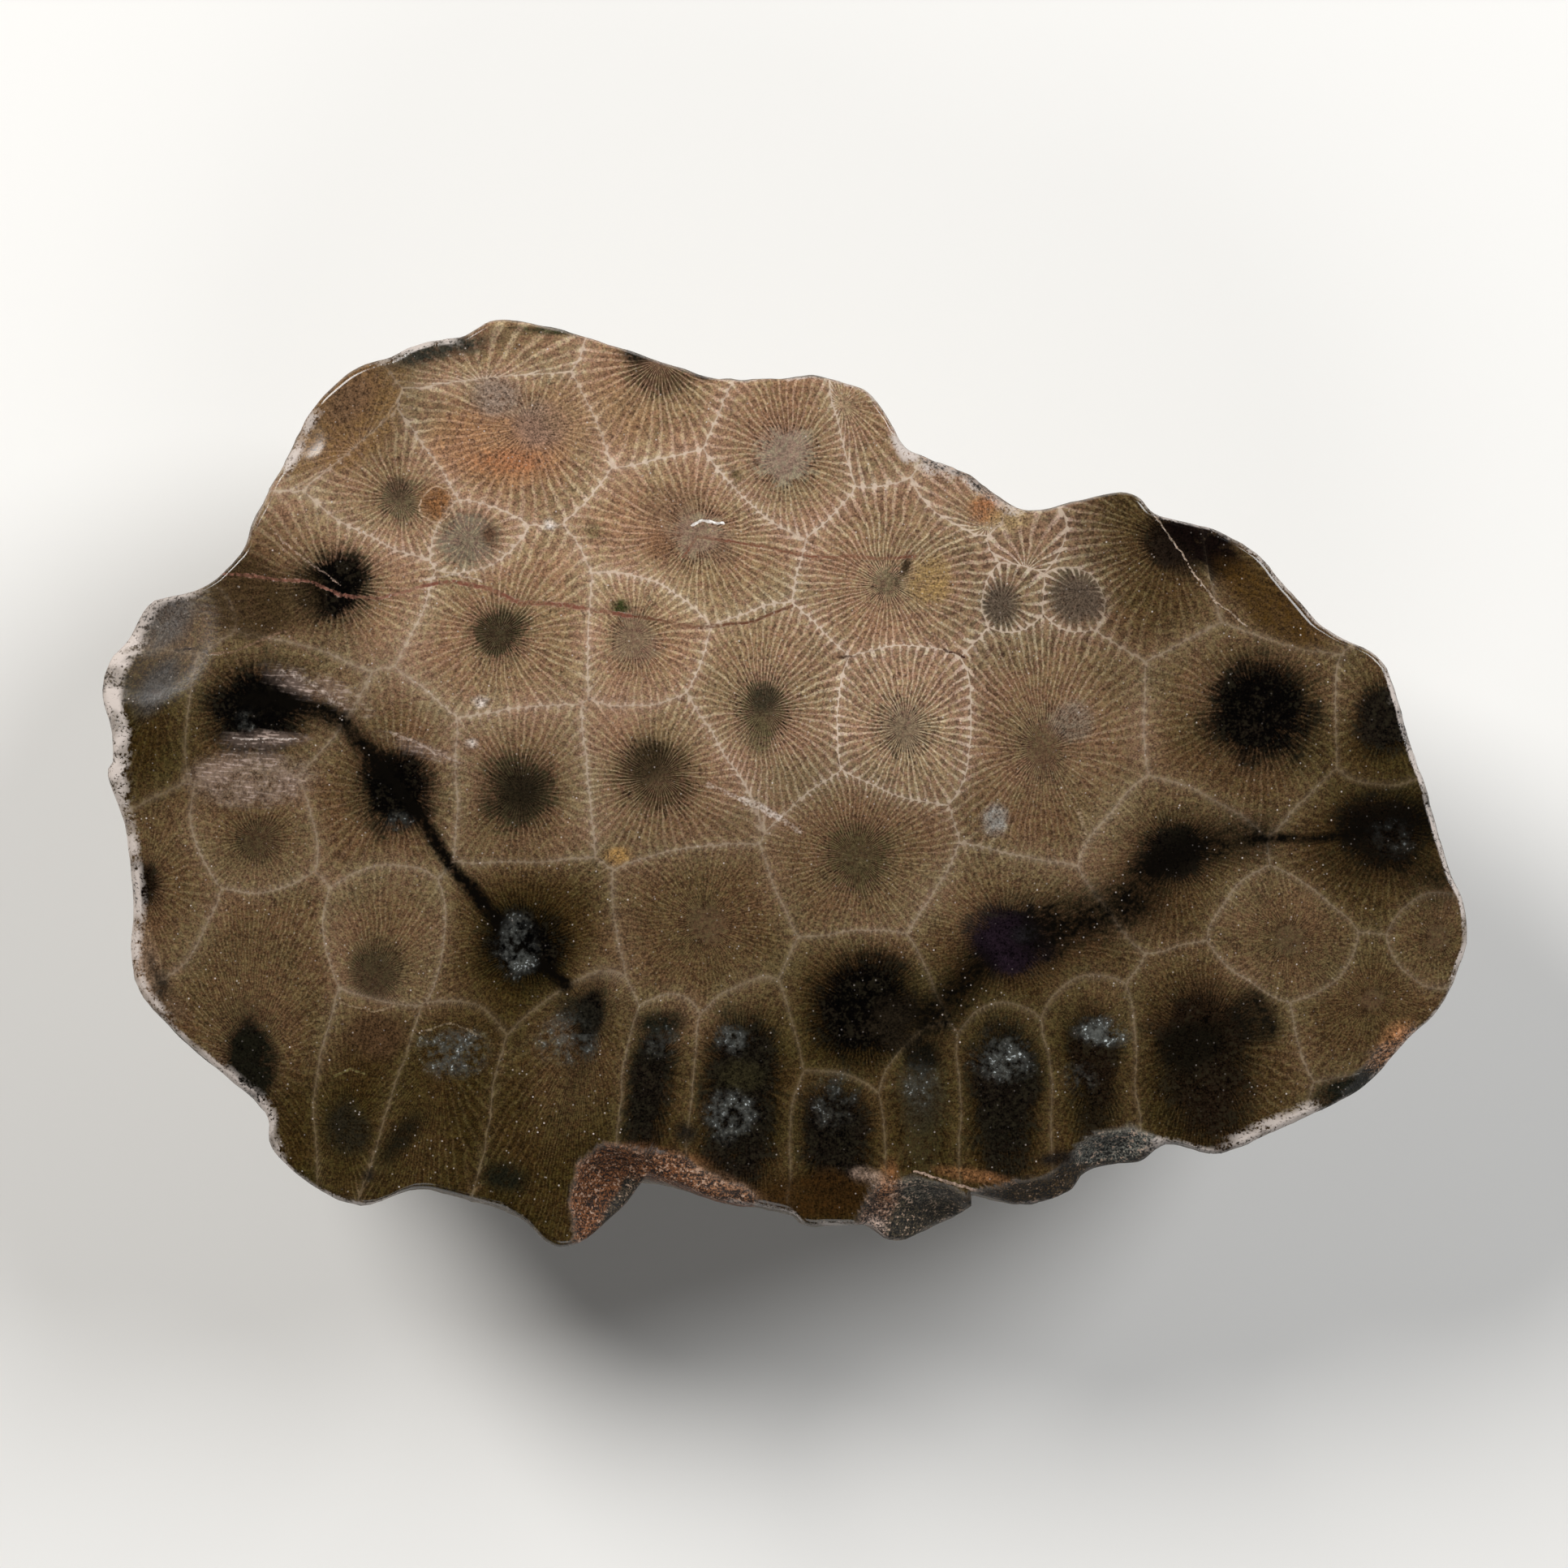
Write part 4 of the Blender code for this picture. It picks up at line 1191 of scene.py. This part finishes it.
def in_column(rock, shape, trail, off_x, off_y):
    """Offsets from a place in a column, as shares of the column's size in each direction."""
    wide, cross, tall = rock.parts(shape)
    v = cross * off_x + tall * off_y
    return wide * off_x + cross * off_y, v.at_least(v * trail)


def find_column(rock):
    """Where each place is within its column of coral: how far from its wall, eye and heart."""
    near = far = facts = None
    for rank in range(NEAREST):
        kinds = ("place", "shape", "eye", "colour", "growth")
        its_facts = [rock.attribute(f"column_{kind}_{rank}") for kind in kinds]
        place_x, place_y, _ = rock.parts(its_facts[0])
        _, trail, half_roundness = rock.parts(its_facts[4])
        u, v = in_column(rock, its_facts[1], trail, rock.x - place_x, rock.y - place_y)
        away = (u * u + v * v) ** half_roundness
        if rank == 0:
            near, far, facts = away, away + 9.0, its_facts
            continue
        nearer = away < near
        far = far.at_most(away.at_least(near))
        near = near.at_most(away)
        facts = [rock.choose(nearer, kept, its) for kept, its in zip(facts, its_facts)]
    place, shape, eye, rock.eye_colour, growth = facts
    rock.radius = rock.parts(place)[2]
    eye_x, eye_y, rock.eye_share = rock.parts(eye)
    rock.plates, trail, half_roundness = rock.parts(growth)
    off_x, off_y = rock.x - eye_x, rock.y - eye_y
    from_u, from_v = in_column(rock, shape, trail, off_x, off_y)
    straight = length_of(off_x, off_y) / rock.radius
    rock.wall_away = (far - near) * rock.radius / (1 + half_roundness * 2)
    rock.from_eye = length_of(from_u, from_v)
    rock.from_heart = rock.from_eye + (straight - rock.from_eye) * (trail - TRAIL) * 1.1
    rock.turn = from_v.math("ARCTAN2", from_u)


def add_plates(rock):
    """The radial plates' lines, the dark gaps between them, and a random number for each plate."""
    beat = (rock.turn + rock.swing(lumps=0.09, grain=0.06)) * rock.plates
    minor = 1 - (beat * 0.5).math("COSINE").math("ABSOLUTE").ramp(0.55, 0.8)
    column_number = rock.radius * 7.0
    rock.each_plate = rock.noise(rock.vector(beat * 0.32, column_number, rock.eye_share * 9.0), 1.0, 0.0)
    line = (beat.math("COSINE") * 0.5 + 0.5 + rock.swing(each_plate=0.4)).ramp(0.55, 1.0)
    line = line * (1 - minor * (1 - (rock.from_eye + rock.swing(grain=0.3)).ramp(0.42, 0.75)))
    along_plate = rock.vector(beat * 0.3, rock.from_eye * rock.radius * 2.6, column_number)
    beads = rock.noise(along_plate, 1.0, 1.0)
    rock.plate_line = line * (0.5 + beads.ramp(0.3, 0.6) * 0.5) * (0.55 + rock.each_plate * 0.9)
    rock.gap_dark = (1 - rock.plate_line) * beads.ramp(0.42, 0.68)


def add_eyes(rock):
    """Each column's dark or pale eye, its halo, and the darker gaps by it."""
    has_eye = rock.eye_share.ramp(0.0, 0.2)
    size = rock.eye_share * (1 + rock.swing(lumps=1.2, grain=0.9, speckle=0.7, each_plate=0.3))
    edge = rock.from_heart / size.at_least(0.01) - (1 - rock.plate_line) * 0.05
    rock.pale_eye = rock.parts(rock.eye_colour)[0].ramp(0.010, 0.030)
    seen_through = (rock.plate_line * 0.4 + 0.25) * rock.pale_eye
    rock.in_eye = (1 - edge.ramp(0.70, 1.30)) * has_eye * (1 - seen_through)
    beyond = rock.from_heart - rock.eye_share
    rock.halo = (1 - beyond.ramp(-0.1, 0.36)) * has_eye * (1 - rock.pale_eye * 0.6)
    rock.by_eye = (1 - beyond.ramp(-0.05, 0.26)) * has_eye


def add_walls(rock):
    """The walls between the columns: the line itself, its soft foot and the glow beside it."""
    width = rock.plate_line * (0.08 + rock.crisp * 0.12) + rock.swing(grain=0.14, fleck=0.08)
    rock.wall = 1 - ((rock.wall_away - width) / 0.085).ramp(0.0, 1.0)
    rock.soft_wall = 1 - rock.wall_away.ramp(0.02, 0.45)
    rock.glow = 1 - rock.wall_away.ramp(0.2, 2.4)


def add_stains(rock):
    """The colour of the stains and broken places, and their cover, patchy on the polished face."""
    polished = 1 - rock.bare
    shade = 0.80 + rock.plate_line * 0.25 * polished + rock.mottle * (0.75 + rock.bare)
    shade = shade + rock.swing(streaks=2.2) * rock.bare
    rock.stained = rock.tinted(rock.attribute("stain"), shade.at_least(0.1))
    patchy = rock.swing(grain=1.4, lumps=0.7, speckle=0.8) * polished
    rock.cover = (rock.cover * (1 + patchy)).as_share()


def eye_shade(rock):
    """The colour inside an eye, mottled, and flecked where the eye is dark."""
    mottle = (rock.swing(grain=1.0) + rock.mottle * 0.9) * (1 - rock.pale_eye * 0.55)
    shade = rock.tinted(rock.eye_colour, (0.80 + rock.pale_eye * 0.12 + mottle).at_least(0.1))
    flecks = rock.blend(speckle=0.3, fleck=0.2, grain=0.25, lumps=0.25).ramp(0.49, 0.60)
    return rock.mix(flecks * (1 - rock.pale_eye) * 0.5, shade, EYE_FLECK_COLOUR)


def polished_coral(rock):
    """The colour of the polished face: its plates, eyes, casts, pits, stains and walls."""
    fill, plates, walls = (rock.mix(rock.tone, *pair) for pair in zip(DARK_STONE, TAN_STONE))
    by_eye = rock.by_eye * (0.16 + rock.gap_dark * 0.42)
    fill = rock.tinted(fill, 1.06 - rock.gap_dark * (0.24 + rock.crisp * 0.3) - by_eye)
    fill = rock.mix(rock.glow * (0.50 - rock.crisp * 0.42), fill, plates)
    shade = rock.mix((rock.plate_line * (0.44 + rock.crisp * 0.56)).at_most(1.0), fill, plates)
    at_wall = 1 - rock.wall_away.ramp(0.1, 1.1)
    shade = rock.mix(rock.plate_line * rock.crisp * at_wall * 0.55, shade, walls)
    shade = rock.tinted(shade, 1 - rock.halo * 0.3)
    shade = rock.cast(shade, rock.crisp.ramp(0.55, 1.0), NO_CAST, COOL_CAST)
    light = rock.tone.ramp(0.0, 0.6)
    shade = rock.cast(shade, light, DARK_CAST, NO_CAST)
    shade = rock.tinted(shade, (1.01 + rock.mottle * (0.98 - light * 0.34)).at_least(0.46))
    shade = rock.mix(rock.in_eye, shade, eye_shade(rock))
    clouds = rock.blend(broad=0.3, grain=0.35, speckle=0.35).ramp(0.4, 0.6)
    shade = rock.cast(shade, clouds, PINK_CAST, OLIVE_CAST)
    wavered = rock.vector_math("ADD", rock.at, rock.vector(rock.grain, rock.fleck, 0.0))
    pits = 1 - rock.spots(wavered, 1.25).ramp(0.10, 0.28)
    shade = rock.tinted(shade, 1 - pits * rock.broad.ramp(0.42, 0.6) * 0.4)
    shade = rock.mix(rock.cover, shade, rock.stained)
    strength = rock.wall * (0.21 + rock.crisp * 0.60) + rock.soft_wall * (0.23 - rock.crisp * 0.17)
    strength = strength * (1 - rock.cover * 0.92) * (1 - rock.in_eye * 0.8)
    strength = strength * (rock.blend(lumps=1.3, speckle=0.9) - 0.1)
    return rock.mix(strength.as_share(), shade, walls)


def lay_veins(rock, shade):
    """Black veins, ragged and darkest along their middle."""
    shade = rock.tinted(shade, 1 - rock.vein * 0.45)
    core = (rock.vein + rock.swing(grain=0.7, speckle=0.5, lumps=0.3)).ramp(0.35, 0.92)
    return rock.mix(core * rock.vein.ramp(0.1, 0.4), shade, VEIN_COLOUR)


def lay_scratches(rock, shade):
    """Patches of fine scratches side by side, in a pale haze."""
    blotchy = rock.scratched * rock.blend(lumps=0.6, grain=0.4).ramp(0.34, 0.6)
    shade = rock.mix(blotchy * 0.42, shade, rock.tinted(SCRATCH_HAZE, 0.6 + rock.speckle * 0.8))
    rock.scratches = blotchy * rock.blend(streaks=0.7, speckle=0.3).ramp(0.51, 0.64)
    return rock.mix(rock.scratches * 0.8, shade, SCRATCH_COLOUR)


def lay_crystals(rock, shade):
    """Clear crystal in the dark: cloudy frost with white glints in it."""
    frost = rock.crystal * rock.blend(lumps=0.4, grain=0.6).ramp(0.40, 0.62)
    frosty = rock.tinted(FROST_COLOUR, rock.blend(speckle=1.2, fleck=0.9) - 0.1)
    shade = rock.mix(frost * 0.9, shade, frosty)
    glints = rock.crystal * rock.blend(grain=0.6, fleck=0.4).ramp(0.57, 0.66)
    return rock.mix(glints * rock.lumps.ramp(0.45, 0.58), shade, GLINT_COLOUR)


def lay_cracks(rock, shade):
    """Fine cracks and long scratches, broken up, with paler edges here and there."""
    start_x, start_y, half_width = rock.parts_of("crack_start")
    end_x, end_y, strength = rock.parts_of("crack_end")
    run_x, run_y = end_x - start_x, end_y - start_y
    waver = rock.swing(grain=0.35)
    off_x, off_y = rock.x + waver - start_x, rock.y + waver - start_y
    length = (run_x * run_x + run_y * run_y).at_least(0.01)
    share = ((off_x * run_x + off_y * run_y) / length).as_share()
    away = length_of(off_x - share * run_x, off_y - share * run_y) / half_width
    crack = (1 - away.ramp(0.5, 1.5)) * strength
    crack = (crack * (rock.blend(fleck=0.6, grain=0.6) + crack * 0.4).ramp(0.66, 1.0)).at_most(1.0)
    blotches = rock.blend(lumps=0.5, speckle=0.5)
    rock.crack = crack * (0.45 + blotches.ramp(0.42, 0.56) * 0.55)
    colour = rock.tinted(rock.attribute("crack_colour"), 0.5 + rock.fleck)
    edge = rock.mix(blotches.ramp(0.42, 0.6) * 0.8, colour, CRACK_EDGE_COLOUR)
    return rock.mix(rock.crack, shade, rock.mix(1 - away.ramp(0.35, 1.0), edge, colour))


def lay_sides(rock, shade):
    """The weathered grey of the sides and of the broken places, with their stains, and painted shade just
    below the rim.
    """
    fill, plate, wall = SIDE_STONE
    side = rock.mix(rock.glow * 0.5, fill, plate)
    side = rock.mix(rock.plate_line * 0.55, side, plate)
    side = rock.mix(rock.wall * 0.8, side, wall)
    clouds = 0.72 + rock.blend(lumps=0.55, mottle=0.4)
    # Painted shade: the sides are darker just below the rim.
    side = rock.tinted(side, clouds * (1 - rock.shade_under_rim * 0.5))
    return rock.mix(rock.bare, shade, rock.mix(rock.cover, side, rock.stained))


def lay_chalk(rock, shade):
    """Chalky wear on the edge with a painted highlight along it, white specks and finer ones on the face
    painted as small glints, and chips in the broken places.
    """
    # Chalky wear, and the painted highlight where the rim catches the light.
    rock.chalky = rock.chalk * rock.blend(grain=0.5, fleck=0.5, chalk=0.12).ramp(0.44, 0.6)
    shade = rock.mix(rock.chalky, shade, CHALK_AND_HIGHLIGHT_COLOUR)
    # Painted glints: sparse white specks on the face, and a finer second layer of them.
    specks = 1 - rock.spots(rock.at, 1.1).ramp(0.04, 0.09)
    specks = specks * rock.blend(lumps=0.7, broad=0.3).ramp(0.44, 0.58)
    fine_glints = 1 - rock.spots(rock.at, 1.7).ramp(0.06, 0.14)
    fine_glints = fine_glints * rock.blend(grain=0.5, lumps=0.5).ramp(0.42, 0.58) * 0.55
    rock.specks = specks.at_least(fine_glints) * (1 - rock.bare * (1 - rock.cover)) * (1 - rock.in_eye * 0.7)
    shade = rock.mix(rock.specks * (0.35 + rock.fleck * 0.9).at_most(1.0), shade, CHALK_AND_HIGHLIGHT_COLOUR)
    chips = rock.blend(fleck=0.45, grain=0.55).ramp(0.54, 0.62) * rock.bare * rock.cover
    chips = chips * rock.parts(rock.stained)[0].ramp(0.025, 0.07)
    return rock.mix(chips * (0.3 + rock.speckle * 0.9), shade, CHIP_COLOUR)


def coral_material():
    """The stone's one material: polished coral, and over it what marks, breaks or covers it."""
    rock = Rock("coral_stone_polished")
    for add in (find_column, add_plates, add_eyes, add_walls, add_stains):
        add(rock)
    shade = polished_coral(rock)
    for lay in (lay_veins, lay_scratches, lay_crystals, lay_cracks, lay_sides, lay_chalk):
        shade = lay(rock, shade)

    roughness = 0.15 + rock.dull * 0.65 + (rock.specks + rock.scratches) * 0.3 + rock.swing(grain=0.06)
    roughness = roughness + (0.75 - roughness) * rock.bare.at_least(rock.chalky * 0.7)
    relief = rock.blend(wall=0.5, plate_line=0.25, grain=0.7) * rock.bare
    relief = relief + (rock.grain + rock.speckle) * rock.dull * 0.4 + rock.chalky * 0.3 - rock.crack * 0.08
    inputs = {"Strength": 0.55, "Distance": 0.22 * MM, "Height": relief}
    normal = rock.node("ShaderNodeBump", None, inputs).outputs[0]
    return rock.finish(
        {"Base Color": shade, "Roughness": roughness, "Normal": normal, "Specular IOR Level": 0.35}
    )


def lay_table():
    form = bmesh.new()
    bmesh.ops.create_grid(form, x_segments=1, y_segments=1, size=1.5)
    mesh = mesh_of("table", form)
    mesh.materials.append(Board("pale_table").finish({"Base Color": TABLE_COLOUR, "Roughness": 0.8}))
    return place_object("table", mesh)


def hang_lamps():
    for name, (place, size, power, colour) in LAMPS.items():
        data = bpy.data.lights.new(name, "AREA")
        data.shape = "DISK"
        data.size = size
        data.energy = power
        data.color = colour
        lamp = place_object(name, data)
        lamp.location = place
        to_face = Vector((0.0, 0.0, HEIGHT)) - Vector(place)
        lamp.rotation_euler = to_face.to_track_quat("-Z", "Y").to_euler()


def set_up_studio():
    """Soft lamps high on both sides, a dim room, and the camera straight above."""
    hang_lamps()
    world = bpy.data.worlds.new("dim_room")
    world.use_nodes = True
    background = world.node_tree.nodes["Background"]
    background.inputs["Color"].default_value = (1.0, 1.0, 1.0, 1.0)
    background.inputs["Strength"].default_value = ROOM_LIGHT
    bpy.context.scene.world = world

    picture_width = PICTURE_PIXELS * PIXEL_MM * MM
    camera_data = bpy.data.cameras.new("camera")
    camera_data.lens = LENS
    camera_data.sensor_width = SENSOR
    camera_data.clip_start = 0.01
    camera = place_object("camera", camera_data)
    camera.location = (0.0, 0.0, HEIGHT - RIM - MM + picture_width * LENS / SENSOR)
    bpy.context.scene.camera = camera
    bpy.context.scene.view_settings.view_transform = "Standard"


stone = carve_stone()
stone.data.materials.append(coral_material())
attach(stone, "root")
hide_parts("petoskey_stone")
lay_table()
set_up_studio()
